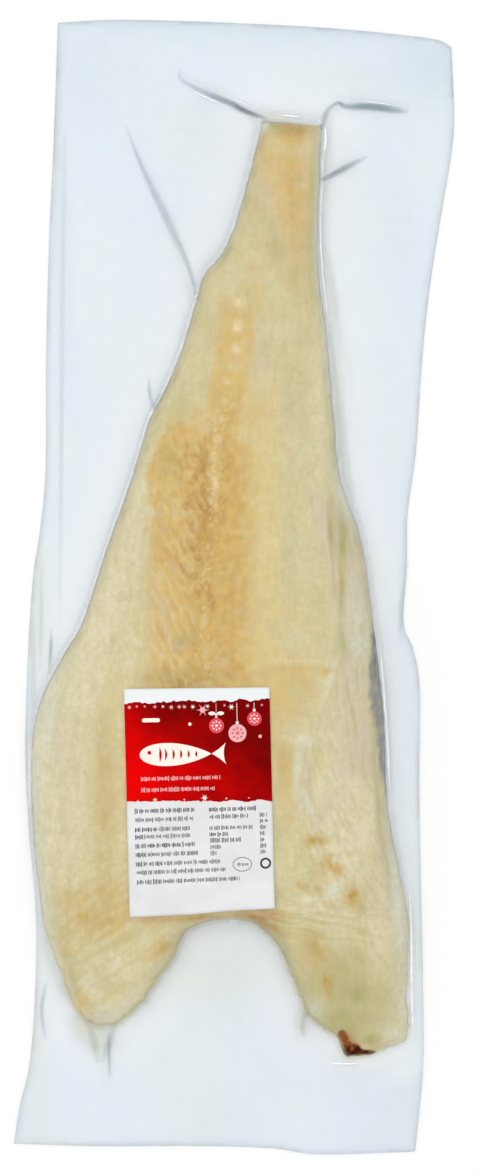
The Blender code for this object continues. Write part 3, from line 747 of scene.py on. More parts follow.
def flesh_marks(points, depth):
    """The numbers that colour the flesh, and its fine relief below the height that the film keeps to."""
    x, y = points.T
    aside = along(SPINE, y) - x
    left, right = along(FISH_LEFT, y), along(FISH_RIGHT, y)
    from_left, from_right = x - left, right - x
    blotch = 2 * rolling(points, 11, 3.1)
    crumb = 2 * rolling(points, 4.6, 8.7)
    speck = 2 * rolling(points, 2.6, 5.2)

    # Ribs: thin broken lines that steepen towards the belly
    ribs = window(aside, 4, 34, 7) * window(y, RIB_BOTTOM - 4, RIB_TOP - 10, 26)
    slope = np.interp(y, (-70, 0, 60), (2.8, 2.0, 1.6))
    phase = (y - slope * aside) / (RIB_SPACING * np.sqrt(1 + slope**2)) + 0.3 * blotch + 0.12 * crumb
    broken = 0.5 + 1.3 * rolling(points, 14, 5.5) + 0.4 * window(y, -80, -10, 20)
    rib_lines = smooth_step(np.sin(2 * math.pi * phase) * 1.3 - 0.45) * ribs * np.clip(broken, 0, 1)
    rib_grain = streaks(points, -60, 2.2, 13, 6.6) * ribs

    # Fields of fine streaks
    flap = window(from_right, 0, 22, 9) * window(y, -120, 52, 16)
    flap_lines = streaks(points, -84, 2.6, 26, 2.9) * flap
    lower = np.maximum(oval(points, 98, -190, 22, 56), oval(points, 70, -150, 26, 60))
    lower_lines = streaks(points, -66, 2.2, 15, 7.1) * lower
    fan_lines = streaks(points, -9, 1.9, 26, 9.4) * oval(points, 58, -224, 46, 12, -6)
    lobe = oval(points, -82, -236, 42, 52)
    lobe_lines = streaks(points, 36, 3.4, 13, 4.8) * lobe
    side_lines = streaks(points, 84, 4, 45, 1.7) * window(from_left, -2, 30, 14) * window(y, -215, 60, 40)
    crumbs = streaks(points, -62, 2.8, 5.5, 3.3) + 0.4 * speck
    curd = np.maximum(oval(points, 64, -180, 24, 48), 0.25 * oval(points, -80, -232, 42, 40)) * crumbs
    lines = 1.2 * flap_lines + 0.7 * lower_lines + 0.9 * fan_lines + 0.5 * lobe_lines + 0.25 * side_lines

    # The beads of the backbone, and below them a pale streak that is a painted highlight
    beads = np.zeros(len(points))
    for i, bead in enumerate(BEADS):
        size, strength = (3.4, 0.95) if i < 3 else (2.6, 0.5)
        away = np.hypot(x - along(SPINE, bead), (y - bead) * 0.85)
        beads = np.maximum(beads, strength * bump(away, size))
    spine_highlight = oval(points, -13, 74, 3.2, 18) * (0.7 + 0.5 * speck)

    # The golden flank, the orange band beside the backbone and the straw-coloured one beyond it
    start = along(GOLD_FROM, y) + 2.5 * blotch + 2 * crumb
    soft = 8 + 18 * smooth_step((40 - y) / 40)
    field = smooth_step((x - start) / soft + 1) * window(aside, -8, np.inf, 9)
    field *= window(y, -76, 95, 36)
    band = smooth_step((x + 12) / 6) * smooth_step((22 - x) / 26) * window(y, -74, 84, 26)
    straw = window(x, 0, 24, 14) * window(y, -84, 125, 50)
    upper = window(aside, -8, 9, 8) * window(y, 95, 175, 30)
    gold = np.maximum.reduce([0.95 * field, 1.15 * band, 0.75 * upper, most(points, GOLDEN)])
    gold *= 1 + 0.25 * blotch + 0.15 * crumb
    gold += 0.3 * np.clip(curd, 0, 1) - 0.2 * np.clip(lines, 0, 1) + 0.15 * np.clip(blotch, 0, 1)

    # Amber mottles by the backbone, and pale flesh left of the gold and in the streaks
    mottle = window(x, -32, -17, 7) * window(y, 0, 94, 14)
    dapple = 2 * rolling(points, 4.2, 6.6, 6)
    mottle = mottle * smooth_step((dapple + 0.3 * speck + 0.35) / 0.9)
    amber = np.maximum(0.6 * mottle, most(points, AMBER) * (1 + 0.3 * crumb)) + 0.22 * band * (1 + crumb)
    amber += field * np.clip(0.07 + 0.2 * crumb + 0.25 * rib_grain + 0.15 * blotch, 0, 1)
    outer_left = window(x, left, start - soft, 8) * window(y, -180, 75, 30)
    pale = np.maximum(0.5 * outer_left, most(points, PALE)) * (1 + 0.35 * blotch)
    pale += 0.5 * np.clip(lines, 0, 1) + 0.7 * np.clip(-curd - 0.1, 0, 1)

    # Olive near the edges and between the streaks, ochre in the curd
    border = 0.25 * bump(depth - 3, 2) * (1 + blotch)
    olive = np.maximum(most(points, OLIVE) * (1 + 0.3 * blotch), border) + 0.4 * np.clip(-lines, 0, 1)
    ochre = most(points, OCHRE) * (1 + 0.4 * crumbs) + 0.3 * np.clip(curd - 0.4, 0, 1)

    # The rosy flap of the belly and painted shade in the fold along it
    rose = np.maximum(0.85 * flap * (0.8 + 0.8 * flap_lines), most(points, ROSE) * (1 + 0.4 * crumb))
    rose += 0.35 * lower * np.clip(0.3 + lower_lines, 0, 1) + 0.3 * np.clip(blotch - 0.3, 0, 1)
    fold_shade = bump(from_right - 8 - crumb, 1.6) * window(y, -185, -70, 30)
    fold_shade = np.maximum(0.5 * fold_shade, 0.6 * oval(points, 64.5, 44, 2.2, 18, 6))

    # Pale rims of painted light, which lift the shade on the steep edges: along the back, round the lobes and
    # by the tail
    left_rim_light = bump(from_left - 1, 5) * window(y, -290, -60, 30)
    rim = 0.85 * bump(depth, 1.8)
    lobes = smooth_step((-180 - y) / 60)
    tail_rim_light = 0.7 * bump(from_right, 4) * (y > 130)
    veil = most(points, VEIL) * (1 + 0.3 * blotch)
    veil = np.maximum.reduce([veil, 0.75 * left_rim_light, rim * lobes, tail_rim_light])
    rose = np.maximum(rose, rim * (1 - lobes))
    lobe_rim_light = 0.6 * bump(depth, 4.5) * lobes * (x < 0)

    # The bare skin with its dark patch, and pale crumbs along the backbone
    strip_width = along(SKIN_STRIP, y)
    skin = window(from_right, -9, strip_width - 2.6 + 0.8 * crumb, 3)
    skin *= (strip_width > 0.2) * (0.9 + 0.3 * streaks(points, 84, 1.6, 9, 2.2))
    slate = skin * smooth_step((speck + crumb + 0.7) / 0.9) * oval(points, 98, -42, 5, 22, 5)
    crag = smooth_step((speck + crumb - 0.5) / 0.4) * bump(aside, 10) * window(y, -60, 125, 12)

    # The scab, painted brown shadow beside it and under the label's lower edge in the notch, and the dark
    # rind of the scab
    comma = np.array(smooth_path([Vector(place) for place in SCAB], 1))
    inside = np.max([r - np.hypot(x - cx, y - cy) for cx, cy, r in comma], axis=0) + 0.5 * crumb
    scab = smooth_step(inside / 1.2 + 0.5)
    umber = scab * smooth_step((np.hypot(x - 72, y + 301) - 8.5 + 3 * speck) / 4)
    painted_shadow = np.maximum(0.4 * oval(points, 79, -304, 6, 4.5, -20), 0.3 * oval(points, 15, -221, 13, 4, -20))
    scab = np.maximum(scab, painted_shadow)

    # The fine relief, as a depth below the film
    fine = 0.3 * (1 - speck) + 0.16 * (ribs - rib_lines) + 0.24 * ribs * (1 - crumb)
    fine += 0.3 * (lower + flap + 0.5 * lobe) * (1 - np.clip(lines, -1, 1)) + 0.35 * np.abs(curd)
    fine *= smooth_step(depth / 4) * 0.8
    marks = {
        "straw": 0.5 * straw * (1 + 0.2 * blotch),
        "gold": gold,
        # The amber colour also carries painted shadow by the label's edges
        "amber": amber,
        "pale": pale,
        # The rib colour also carries the painted highlight below the beads
        "rib_and_highlight": 0.5 * rib_lines + 0.8 * spine_highlight,
        # The rose, veil and bone colours also carry the rims' painted light
        "rose": rose,
        # The olive colour also carries painted shade in the fold and, partly, above the label
        "olive": np.maximum(olive, fold_shade),
        "ochre": ochre,
        "veil": veil,
        "bone_and_rim_light": np.maximum.reduce([beads, 0.4 * crag, 0.8 * rim * lobes, lobe_rim_light]),
        "grey": skin,
        "slate": slate,
        # The brown colour also carries painted shadow beside the scab and under the label
        "brown": scab,
        "umber": umber,
    }
    return {key: np.clip(value, 0, 1) for key, value in marks.items()}, fine


def make_fish():
    smooth = fish_outline()
    loop = ragged(smooth)
    points, quads, rim = snapped_grid(loop, FLESH_STEP)
    depth = np.maximum(depth_inside(points, loop), 0)
    _, top = pack_top(points, depth)
    marks, fine = flesh_marks(points, np.where(rim, 0, depth))
    top = top - FILM_CLEARANCE - fine

    edges = rim_edges(quads)
    border, edges = np.unique(edges, return_inverse=True)
    below, faces = filling(points[border], edges.reshape(-1, 2), [loop], UNDERSIDE_STEP)
    belly = film_underside(margin_height(below, 0), depth_inside(below, smooth)) + SKIN_OVER_FILM

    names = np.concatenate([border, len(points) + np.arange(len(below) - len(border))])
    verts = np.concatenate([raised(points, top), raised(below, belly + FLESH_OVER_SKIN)[len(border):]])
    faces = np.array([face[::-1] for face in faces])
    plain = np.zeros(len(verts) - len(points))
    marks = {key: np.concatenate([values, plain]) for key, values in marks.items()}
    shells = [*quads.tolist(), *names[faces].tolist()]
    flesh = new_piece("fish_flesh", verts, shells, flesh_material("soaked_flesh", 1.0), marks)
    flesh.data.materials.append(flesh_material("dry_scab", 0.0))
    brown = flesh.data.attributes["brown"].data
    for face in flesh.data.polygons:
        face.material_index = int(all(brown[corner].value > 0.5 for corner in face.vertices))
    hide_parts("bag")

    skin = new_piece("fish_skin", raised(below, belly), faces, skin_material())
    thicken(skin, SKIN_THICKNESS)
    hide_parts("bag")


# ---- Film ----

# Paths on the film: (x, y, half-width in mm, darkness) along each; the folds' darkness is painted shade, and
# the glints, which are painted highlights, have no darkness
FOLDS = [
    [(-37, 350, 0.6, 0.1), (-36, 343, 1.2, 0.3), (-23, 335.5, 1.6, 0.4), (-13, 331, 1.9, 0.6),
     (-2, 326.5, 1.8, 0.75), (6, 322, 1.7, 1), (15, 318, 1.5, 0.9), (24, 315.5, 1, 0.4)],
    [(59.4, 308, 1.6, 0.5), (61, 317, 2, 0.6), (65, 323.6, 1.5, 0.4), (70.5, 326.4, 1.3, 0.7),
     (76, 324.4, 1.8, 0.6), (92, 324, 2.3, 0.8), (109, 322, 2.1, 0.7), (118, 320.4, 1, 0.2)],
    [(58.5, 274, 1.5, 0.7), (75, 283, 1.9, 0.6), (90, 291, 1.1, 0.1)],
    [(-73, 312, 0.8, 0.05), (-67.5, 296.4, 1.2, 0.3), (-59.4, 277.5, 1.6, 0.35), (-50, 258, 2.2, 0.3),
     (-40.5, 237.6, 2.3, 0.28), (-32.4, 219.4, 1.9, 0.3), (-27.7, 205, 1.5, 0.4), (-25, 193, 1, 0.3)],
    [(-57.5, 142, 0.7, 0.1), (-57.1, 131.8, 1.1, 0.3), (-54.8, 120.3, 1, 0.35)],
    [(-49.5, 131, 0.7, 0.1), (-52.4, 125, 1, 0.25), (-54.4, 119.5, 0.9, 0.3)],
    [(-84, -300, 0.9, 0.15), (-84.4, -316, 1.1, 0.4), (-84, -332, 0.9, 0.1)],
    [(-127, -266, 1.1, 0.1), (-130, -285, 1.2, 0.35), (-127.5, -306, 1.1, 0.1)],
    [(-123.6, -28, 0.8, 0.1), (-123.8, -42, 1.1, 0.5), (-125, -60, 1, 0.1)],
]
MEMBRANES = [
    [(-99, -292, 3, 0.1), (-95, -306, 3.4, 0.14), (-92, -322, 2.6, 0.02)],
    [(-80, -295, 2.6, 0.1), (-85, -309, 2.8, 0.14), (-89, -321, 2, 0.02)],
    [(48, -286, 2.2, 0.1), (46, -296, 2.2, 0.15), (47, -304, 1.2, 0.02)],
    [(-136, -20, 2.2, 0.02), (-135.4, -60, 2.4, 0.1), (-137, -110, 2.2, 0.02)],
    [(-130, 14, 1.4, 0.02), (-130.5, -30, 1.8, 0.1), (-131, -58, 1.2, 0.02)],
    [(-114, 305, 1.8, 0.02), (-116, 200, 2.2, 0.05), (-117, 80, 2, 0.05), (-118, -25, 1.5, 0.02)],
    [(118, 20, 1.2, 0.02), (113, -14, 2, 0.1), (112, -40, 1.2, 0.02)],
]
GLINTS = [
    [(30, 318.8, 0.4), (38, 318.2, 0.9), (47, 317.2, 0.4)],
    [(61, 312, 0.7), (62.2, 304, 1.4), (61.2, 292, 1.2)],
    [(60.6, 300, 0.8), (59.4, 270, 1.2), (58.3, 240, 0.8), (60.6, 205, 0.8), (64.5, 175, 0.5)],
    [(0, 330, 0.5), (9, 325.6, 1), (18, 321, 0.6)],
    [(-28, 335, 0.5), (-18, 330.4, 0.8), (-6, 324.6, 0.5)],
    [(98.4, -36, 0.5), (101, -66, 1.3), (103.8, -104, 1.3), (105.4, -140, 0.6)],
    [(63, -321, 0.5), (74, -322, 0.9), (86, -321.6, 0.6)],
    [(118.5, -205, 0.5), (120, -236, 1.2), (120.2, -270, 1.2), (121, -304, 0.6)],
    [(76, 328, 0.4), (92, 327.6, 0.8), (108, 325.6, 0.4)],
]
# Places where the empty film is duller than elsewhere
DULL = [
    (140, 355, 36, 30, 0.07), (0, 388, 160, 20, 0.07, -2), (-95, 350, 40, 40, 0.03),
    (-116, 250, 6, 100, 0.03, 3), (112, 240, 14, 60, 0.02, 8), (116, -120, 14, 150, 0.03),
    (88, -334, 34, 16, 0.04),
]
# Places where the film lies on a thin milky layer of juice
JUICE = [
    (-123, -238, 6, 24, 0.2, 8), (-114, -266, 6, 12, 0.2, 20), (-98, -296, 10, 9, 0.28),
    (-91, -306, 9, 8, 0.15), (28, 317.5, 12, 2.5, 0.3, -5), (46, -294, 5, 8, 0.12),
]
# Places where the film looks greener
GREENISH = [
    (-121, 330, 5, 55, 1), (-131, -10, 7, 60, 0.9, 4), (-134, -300, 8, 44, 0.9), (-90, -308, 12, 14, 0.9),
    (120, -250, 8, 90, 0.4), (46, -294, 7, 12, 0.9), (70, 342, 30, 10, 0.5), (-20, 305, 26, 26, 0.5),
    (76, 288, 14, 26, 0.5), (104, -60, 9, 22, 0.3), (-20, -262, 44, 26, 0.9),
]
# Where the film that stands off the right flank comes down: (y, x)
TENT = [(240, 58), (219, 65), (194, 69), (167, 70.5), (126, 73.5), (92, 76.5), (60, 80)]


def make_film():
    """The two sealed sheets as one envelope: over the fish, under it, and joined all round at the edge."""
    bag, fish = bag_outline(), ragged(fish_outline())
    points, quads, rim = snapped_grid(bag, FILM_STEP)
    depth, _, travel = nearness(points, fish)
    edge = depth_inside(points, bag)
    margin, top = pack_top(points, depth + FILM_BRIDGE)
    creases = crease_ridges(points) * (depth < 0)
    puckers = np.maximum(rolling(np.column_stack([travel, depth]), 5.5, 4.4, 60), 0)
    top = top + creases + 0.7 * puckers * bump(depth + 3, 7)
    low = np.minimum(film_underside(margin + creases, depth), top - 0.3)
    low[rim] = top[rim]

    looks = film_looks(points, depth, edge, puckers)
    below = np.arange(len(points))
    below[~rim] = len(points) + np.arange((~rim).sum())
    verts = np.concatenate([raised(points, top), raised(points, low)[~rim]])
    faces = np.concatenate([quads, below[quads[:, ::-1]]])
    lower = {**looks, "haze": np.minimum(looks["haze"], LOWER_SHEET_HAZE)}
    looks = {key: np.concatenate([values, lower[key][~rim]]) for key, values in looks.items()}
    material = film_material()
    film = new_piece("film_bag", verts, faces, material, looks)
    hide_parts("bag")
    make_folds(material, fish)


def film_looks(points, depth, edge, puckers):
    x, y = points.T
    free = smooth_step(-depth / 3 + 0.3)
    tent = free * window(x, along(FISH_RIGHT, y), along(TENT, y), 2.5) * window(y, 60, 240, 14)
    green = np.maximum(most(points, GREENISH), tent)
    # Painted highlights in white: a rim round the fish, glints on the puckers, and painted light near the
    # fish that lifts the shade it casts
    seam = bump(depth + 1.4, 1.4) * window(y, -150, 330, 60)
    dark = 0.2 * bump(edge, 1.6)
    lowest = np.where(x < along(SPINE, y), -120, 80)
    near = bump(depth, 6) * window(y, lowest, 330, 40) * (1 - 0.6 * tent)
    white = np.maximum.reduce([0.3 * puckers * bump(depth + 5, 5), 0.9 * seam, 0.7 * near])
    juice = most(points, JUICE)
    far = smooth_step(-depth / 45)
    haze = 0.04 + free * (0.035 + 0.045 * far + most(points, DULL)) + 0.25 * seam
    haze += 0.04 * tent + 0.06 * bump(edge, 4) + 0.1 * dark + 0.02 * free * green + juice
    # More white haze near the fish, painted light against its shade
    haze += 0.12 * free * near
    haze *= 1 - 0.9 * np.minimum(1.6 * oval(points, 82, -309, 15, 9, -20), 1)
    looks = {"haze": haze, "dark": dark, "white": white, "green": green, "milky": juice * 4}
    return {key: np.clip(value, 0, 1) for key, value in looks.items()}


def film_top(points, fish):
    """The height of the film's upper sheet outside the fish, without its puckers."""
    depth = depth_inside(points, fish)
    _, top = pack_top(points, depth + FILM_BRIDGE)
    return top + crease_ridges(points) * (depth < 0)


def make_folds(material, fish):
    """Narrow folds of painted shade, pale membranes and bright rims of painted highlight on the upper sheet,
    each a low tent along its path.
    """
    # (path, haze, haze that the path's darkness adds, factor for its width, tints)
    strips = [(path, 0.25, 0.7, 1.3, {}) for path in FOLDS]
    strips += [(path, 0.14, 1.0, 1.0, {"green": 1}) for path in MEMBRANES]
    strips += [(path, 0.8, 0.0, 1.0, {"white": 1}) for path in [*GLINTS, halo_path()]]
    strips += [(path, 0.5, 0.0, 1.0, {"milky": 1}) for path in fringe_paths(fish)]
    shares, core = np.array((-1, -0.5, 0, 0.5, 1)), np.array((0, 0.6, 1, 0.6, 0))
    lanes = len(shares)
    verts, faces = [], []
    looks = {key: [] for key in ("haze", "dark", *TINTS)}
    for places, least, more, wider, tints in strips:
        path = np.array(smooth_path([Vector((*place, 0)[:4]) for place in places], FOLD_STEP))
        centre, shade = path[:, :2], np.clip(path[:, 3], 0, 1)
        half = np.maximum(path[:, 2], 0.1) * wider
        run = np.gradient(centre, axis=0)
        normal = np.stack([-run[:, 1], run[:, 0]], axis=1) / np.linalg.norm(run, axis=1)[:, None]
        across = (centre[:, None] + normal[:, None] * (half[:, None] * shares)[:, :, None]).reshape(-1, 2)
        lift = (FOLD_LIFT + half[:, None] * FOLD_STEEPNESS * (1 - np.abs(shares))).ravel()
        first = len(verts)
        verts += raised(across, film_top(across, fish) + lift).tolist()
        fade = np.sin(np.linspace(0.02, 0.98, len(path)) * math.pi) ** 0.4
        looks["haze"] += (((least + more * shade) * fade)[:, None] * core).ravel().tolist()
        looks["dark"] += np.repeat(shade, lanes).tolist()
        for key in TINTS:
            looks[key] += [tints.get(key, 0)] * (lanes * len(path))
        for i in range(len(path) - 1):
            for j in range(lanes - 1):
                corner = first + lanes * i + j
                faces.append((corner, corner + lanes, corner + lanes + 1, corner + 1))
    folds = new_piece("film_folds", verts, faces, material, looks)
    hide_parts("bag")


def halo_path():
    """A painted highlight: the bright rim where the film leaves the fish's left side, from the tail to the
    shoulder.
    """
    stations = [place for place in FISH_LEFT if -100 < place[0] < 312]
    return [(x - 0.7, y + 0.3, 0.9 + 0.3 * math.sin(y / 9)) for y, x in stations]


def fringe_paths(fish):
    """Juice that blurs the cut ends of the belly, as a path round each lobe."""
    edge = fish[(fish[:, 1] < -205) & (fish[:, 0] > -118) & (fish[:, 0] < 104)][::3]
    return [[(x, y, 2.8) for x, y in edge if (x > 0) == right] for right in (True, False)]


# ---- Label ----


def label_height(points):
    """The sheet's height: it follows the loins, with slack ripples and a lifted lower edge."""
    across, lengthways = label_place(points).T
    ripple = RIPPLE_HEIGHT * np.sin(across / 9 + 1.7 * np.sin(lengthways / 31))
    lifted = smooth_step((-lengthways - 48) / 26) * smooth_step((across + 20) / 45)
    base = loin_height(points) + FILM_THICKNESS / 2 + LABEL_GAP + LABEL_SLACK
    return base + ripple + CURL_HEIGHT * lifted


def on_label(flat, lift):
    """Places (across, along) the label as points in the scene, a lift above the paper."""
    flat = np.array(flat, dtype=float)
    right, up = flat[:, 0] / LABEL_WIDTH + 0.5, flat[:, 1] / LABEL_LENGTH + 0.5
    curl = smooth_step((-flat[:, 1] - 52) / 22) * smooth_step((flat[:, 0] + 12) / 34)
    flat[:, 1] += 1.5 * curl + (1 - right) * (1.3 * up - 2.2 * (1 - up))
    points = turned(flat, -LABEL_TURN) + LABEL_CENTRE
    return raised(points, label_height(points) + lift)


def divided(outline, step):
    """The outline with points added along sides that are longer than step."""
    places = []
    for start, end in zip(outline, np.roll(outline, -1, axis=0)):
        count = max(1, math.ceil(math.dist(start, end) / step))
        places += [tuple(start + (end - start) * i / count) for i in range(count)]
    return places


def printed(name, outlines, material, layer=1, step=3.0):
    """One piece of print: flat shapes, given on the label, in a layer over the paper."""
    points, edges = [], []
    for outline in outlines:
        first = len(points)
        points += divided(np.array(outline, dtype=float), step)
        count = len(points) - first
        edges += [(first + i, first + (i + 1) % count) for i in range(count)]
    loops = [np.array(outline) for outline in outlines if np.ptp(outline, axis=0).min() > step]
    if loops:
        flat, faces = filling(np.array(points), np.array(edges), loops, step)
    else:
        given = [Vector(place) for place in points]
        flat, _, faces, *_ = geometry.delaunay_2d_cdt(given, edges, [], 1, WELD_REACH)
    verts = on_label([tuple(place) for place in flat], INK_LIFT * layer)
    piece = new_piece(name, verts, faces, material)
    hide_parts("label")


def box(left, bottom, right, top):
    return [(left, bottom), (right, bottom), (right, top), (left, top)]


def curve(x, y, across, up, turns):
    """Places round (x, y), at the given angles, on an ellipse; across and up may change along it."""
    return list(zip(x + across * np.cos(turns), y + up * np.sin(turns)))


def disc(x, y, radius, count=28, squash=1.0):
    return curve(x, y, radius, radius * squash, np.linspace(0, 2 * math.pi, count, endpoint=False))


def flake(x, y, radius):
    """A six-armed snowflake as one outline."""
    reach = radius * np.array([1.0, 0.35, 0.5, 0.35] * 6)
    return curve(x, y, reach, reach, np.linspace(0, 2 * math.pi, 24, endpoint=False))


def snowy_edge(left, right, seed, height, reach):
    """An uneven line across the label, like snow lying on the red field."""
    places = np.arange(-reach, reach + 0.01, reach / 55)
    level = left + (right - left) * (places / reach + 1) / 2
    line = np.column_stack([places, np.zeros(len(places))])
    drift = 2 * rolling(line, 9, seed) + rolling(line, 2.1, seed + 3)
    return list(zip(places, level + height * drift))


def fish_sign(x, y, length):
    """The classic fish curve: a body and, beyond the crossing, its tail."""
    turns = np.linspace(0, 2 * math.pi, 72, endpoint=False)
    across = np.cos(turns) - np.sin(turns) ** 2 / math.sqrt(2)
    up = np.cos(turns) * np.sin(turns)
    return [(x - length / 2 * a, y + length * 0.27 * b) for a, b in zip(across, up)]


def arc(x, y, radius, start, end, width):
    """A crescent: an arc between two angles in degrees, thickest in its middle."""
    turns = np.radians(np.linspace(start, end, 10))
    inner = radius - 0.02 - width * np.sin(np.linspace(0, math.pi, 10))
    return curve(x, y, radius, radius, turns) + curve(x, y, inner, inner, turns)[::-1]


# Places on the label are (across, up) from its middle; the baubles are (across, up, radius, ink).
RED_TOP, RED_BOTTOM = 65.6, 0.2
BAUBLES = ((12.6, 49.6, 5.0, "rose"), (26.4, 44.4, 6.0, "blush"), (37.9, 53.8, 4.8, "rose"))


def make_label():
    half_width, half_length = LABEL_WIDTH / 2, LABEL_LENGTH / 2
    columns, rows = 48, 74
    xs = np.linspace(-half_width, half_width, columns + 1)
    ys = np.linspace(-half_length, half_length, rows + 1)
    flat = [(x, y) for y in ys for x in xs]
    _, quads = grid_cells(columns, rows)
    paper = new_piece("label_sheet", on_label(flat, 0), quads, paper_material())
    thicken(paper, PAPER_THICKNESS)
    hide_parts("label")

    red = red_material()
    inks = {
        "white": ink_material("ink_white", lit(248, 240, 228)),
        "blush": ink_material("ink_blush", lit(240, 176, 178)),
        "rose": ink_material("ink_rose", lit(226, 74, 88)),
        "black": ink_material("ink_black", lit(40, 40, 43, 0.01), worn=0.1),
        "grey": ink_material("ink_grey", lit(94, 94, 97, 0.01), worn=0.15),
    }
    reach = half_width - 0.05
    field = snowy_edge(64.6, 66.4, 2.2, 1.0, reach) + snowy_edge(1.2, -1.0, 6.1, 0.6, reach)[::-1]
    printed("print_field", [field], red)
    make_sign(inks, red)
    make_ornaments(inks)
    make_small_print(inks)


def make_sign(inks, red):
    """A plain fish sign, a blank bar above it and two rows of marks below it."""
    printed("print_sign", [fish_sign(-11, 31.2, 56)], inks["white"], layer=2)
    marks = [disc(-32.5, 32.6, 1.3, 14), arc(-33.5, 31.2, 9.2, -33, 33, 1.7)]
    marks += [arc(-26 + 5.6 * i, 31.2, 5.4 - 0.6 * i, -48, 48, 1.5) for i in range(5)]
    printed("print_sign_marks", marks, red, layer=3)
    left, right = disc(-35.6, 53.8, 1.3, 12), disc(-26.2, 53.8, 1.3, 12)
    printed("print_bar", [left[3:10] + right[9:] + right[:4]], inks["white"], layer=2)
    draw = np.random.default_rng(3)
    rows = strokes(-38.5, 14.4, 15.6, 1.5, draw) + strokes(-38.5, 11.2, 8.4, 1.5, draw)
    printed("print_lines", rows, inks["blush"], layer=2)


def strokes(start, end, y, half, draw):
    """A row of short upright strokes in loose groups; it has the grey of lettering but no letters."""
    row, x = [], start
    while x < end - 0.5:
        for _ in range(draw.integers(3, 9)):
            wide = draw.uniform(0.35, 0.75)
            if x + wide > end:
                break
            tall = half * draw.uniform(0.55, 1.15)
            row.append(box(x, y - tall, x + wide, y + tall * draw.uniform(0.6, 1.0)))
            x += wide + draw.uniform(0.28, 0.45)
        x += 0.8
    return row


def make_ornaments(inks):
    """Baubles on strings, snow crystals under the top edge and a few at the bottom."""
    for i, (x, y, radius, ink) in enumerate(BAUBLES):
        other = inks["white" if ink == "rose" else "rose"]
        printed(f"print_bauble_{i}", [disc(x, y, radius)], inks[ink], layer=2)
        ring = radius * 0.55
        spots = [disc(*place, radius * 0.12, 8) for place in disc(x, y, ring, 8)]
        printed(f"print_bauble_spots_{i}", [flake(x, y, radius * 0.34), *spots], other, layer=3)
        top = y + radius
        cap = box(x - 0.9, top + 0.05, x + 0.9, top + 1.7)
        string = box(x - 0.2, top + 1.8, x + 0.2, RED_TOP - 1.2)
        printed(f"print_hanger_{i}", [cap, string], inks["white" if i else "blush"], layer=3)
    x, y = BAUBLES[0][0], BAUBLES[0][1] + 7.4
    loops = [disc(x + side * 2.9, y + 0.7, 2.3, squash=0.55) for side in (-1, 1)]
    printed("print_bow", [*loops, disc(x, y, 0.8, 12)], inks["white"], layer=4)

    draw = np.random.default_rng(11)
    bright, faint = [disc(-5.1, 50.9, 1.1, 12)], [disc(41.4, 42, 1.2, 12)]
    for x in np.arange(-44, 46, 5.2):
        x = x + draw.uniform(-1.4, 1.4)
        size = draw.uniform(1.0, 2.6) if abs(x - 2.5) > 4 else 4.4
        if all(abs(x - bauble[0]) > size + 0.4 for bauble in BAUBLES):
            (bright if draw.random() < 0.45 else faint).append(flake(x, RED_TOP - 1.6 - size * 0.9, size))
    for x, size in ((-29.5, 1.9), (3.5, 2.8), (-10, 0.9), (18, 0.9), (33, 0.8), (-41, 0.8)):
        bright.append(flake(x, RED_BOTTOM + 0.8 + size * 0.4, size))
    printed("print_flakes_bright", bright, inks["white"], layer=2)
    printed("print_flakes_faint", faint, inks["blush"], layer=2)


def make_small_print(inks):
    """Rows of strokes in two columns and a list, bold where a row begins a paragraph, and two blank marks."""
    draw = np.random.default_rng(5)
    left, right = -43.3, 6.2
    # (start, end, height on the label, bold share)
    rows = [
        (left, -3.4, -5.3, 1.0), (left, -4.5, -11, 0), (left, -6.5, -17.4, 0.45), (left, -6, -22.1, 0.15),
        (left, -2.5, -28, 0.8), (left, -1.5, -33.8, 0.3), (left, 14, -39.9, 0.34), (left, 17, -45.4, 0),
        (left, 26, -51.7, 0), (right, 38, -5.6, 1.0), (right, 33, -10.4, 0), (right, 35, -17.8, 0.1),
        (right, 20, -22, 0.6), (right, 28, -26, 0), (right, 14, -30.4, 0), (right, 11, -34.4, 0),
    ]
    rows += [(39.5, 39.5 + 6 * draw.uniform(0.6, 1), -10 - 4.1 * i, 0) for i in range(7)]
    bold_marks, marks = [], []
    for start, end, y, bold in rows:
        middle = start + bold * (end - start)
        bold_marks += strokes(start, middle, y, 1.65, draw)
        marks += strokes(middle + 0.4, end, y, 1.6, draw)
    printed("print_small_bold", bold_marks, inks["black"])
    printed("print_small", marks, inks["grey"])
    printed("print_ring", half_rings(43, -42.5, 3.7, 3.7, 1.3), inks["black"])
    oval_mark = half_rings(27.5, -42.6, 6.4, 4.8, 0.45) + strokes(24, 31.5, -42.6, 1.2, draw)
    printed("print_oval", oval_mark, inks["grey"])


def half_rings(x, y, half_width, half_height, line):
    """A plain ring as two halves that all but meet."""
    halves = []
    for start in (0, math.pi):
        turns = np.linspace(start + 0.01, start + math.pi - 0.01, 16)
        inner = curve(x, y, half_width - line, half_height - line, turns)
        halves.append(curve(x, y, half_width, half_height, turns) + inner[::-1])
    return halves


# ---- Floor, light and camera ----

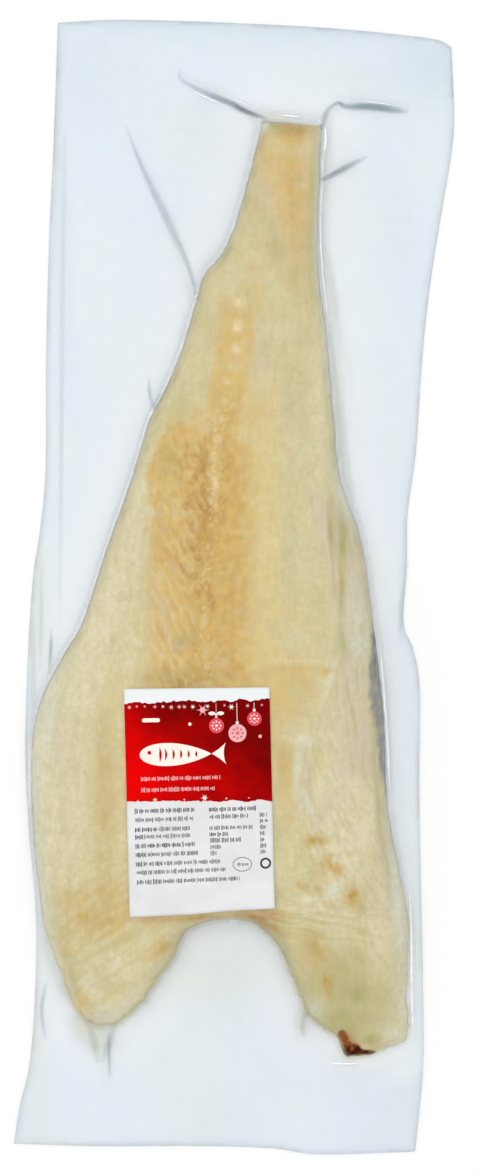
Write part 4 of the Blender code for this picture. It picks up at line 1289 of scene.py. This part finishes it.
FLOOR_REACH, FLOOR_DROP = 6, 0.3 * MM
SKY_STRENGTH = 0.76
KEY_PLACE, KEY_SIZE, KEY_POWER = Vector((-0.3, 0.25, 2.6)), 2.4, 26
LENGTH_SEEN = 792.3 * MM
CAMERA_AIM = Vector((3.0 * MM, 0.7 * MM, 0.0))
CAMERA_LENS, CAMERA_SENSOR = 100.0, 36.0


def floor_material():
    s = Shading("pale_floor")
    cloud = s.noise(400, detail=2)
    colour = s.mix(s.spread(cloud, 0.3, 0.7), (0.95, 0.95, 0.95), (0.96, 0.96, 0.96))
    return s.finish(s.principled(Base_Color=colour, Roughness=0.9, Specular_IOR_Level=0.0))


def make_floor():
    mesh = bpy.data.meshes.new("floor")
    shape = bmesh.new()
    bmesh.ops.create_grid(shape, x_segments=4, y_segments=4, size=FLOOR_REACH)
    bmesh.ops.translate(shape, vec=(0, 0, -FLOOR_DROP), verts=shape.verts)
    shape.to_mesh(mesh)
    shape.free()
    mesh.materials.append(floor_material())
    floor = bpy.data.objects.new("floor", mesh)
    bpy.context.scene.collection.objects.link(floor)


def make_light():
    """An even pale sky and one broad soft lamp, high over the upper left."""
    world = bpy.data.worlds.new("studio")
    world.use_nodes = True
    sky = world.node_tree.nodes["Background"]
    sky.inputs["Color"].default_value = (1, 1, 1, 1)
    sky.inputs["Strength"].default_value = SKY_STRENGTH
    bpy.context.scene.world = world
    data = bpy.data.lights.new("key", "AREA")
    data.shape = "DISK"
    data.size = KEY_SIZE
    data.energy = KEY_POWER
    key = bpy.data.objects.new("key", data)
    key.location = KEY_PLACE
    key.rotation_euler = KEY_PLACE.to_track_quat("Z", "Y").to_euler()
    bpy.context.scene.collection.objects.link(key)
    bpy.context.scene.view_settings.view_transform = "Standard"


def make_camera():
    """Straight above the pack, just so far off that the picture shows LENGTH_SEEN from top to bottom."""
    data = bpy.data.cameras.new("camera")
    data.lens = CAMERA_LENS
    data.sensor_width = CAMERA_SENSOR
    camera = bpy.data.objects.new("camera", data)
    camera.location = CAMERA_AIM + Vector((0, 0, LENGTH_SEEN * CAMERA_LENS / CAMERA_SENSOR))
    bpy.context.scene.collection.objects.link(camera)
    bpy.context.scene.camera = camera


make_fish()
make_film()
make_label()
make_floor()
make_light()
make_camera()
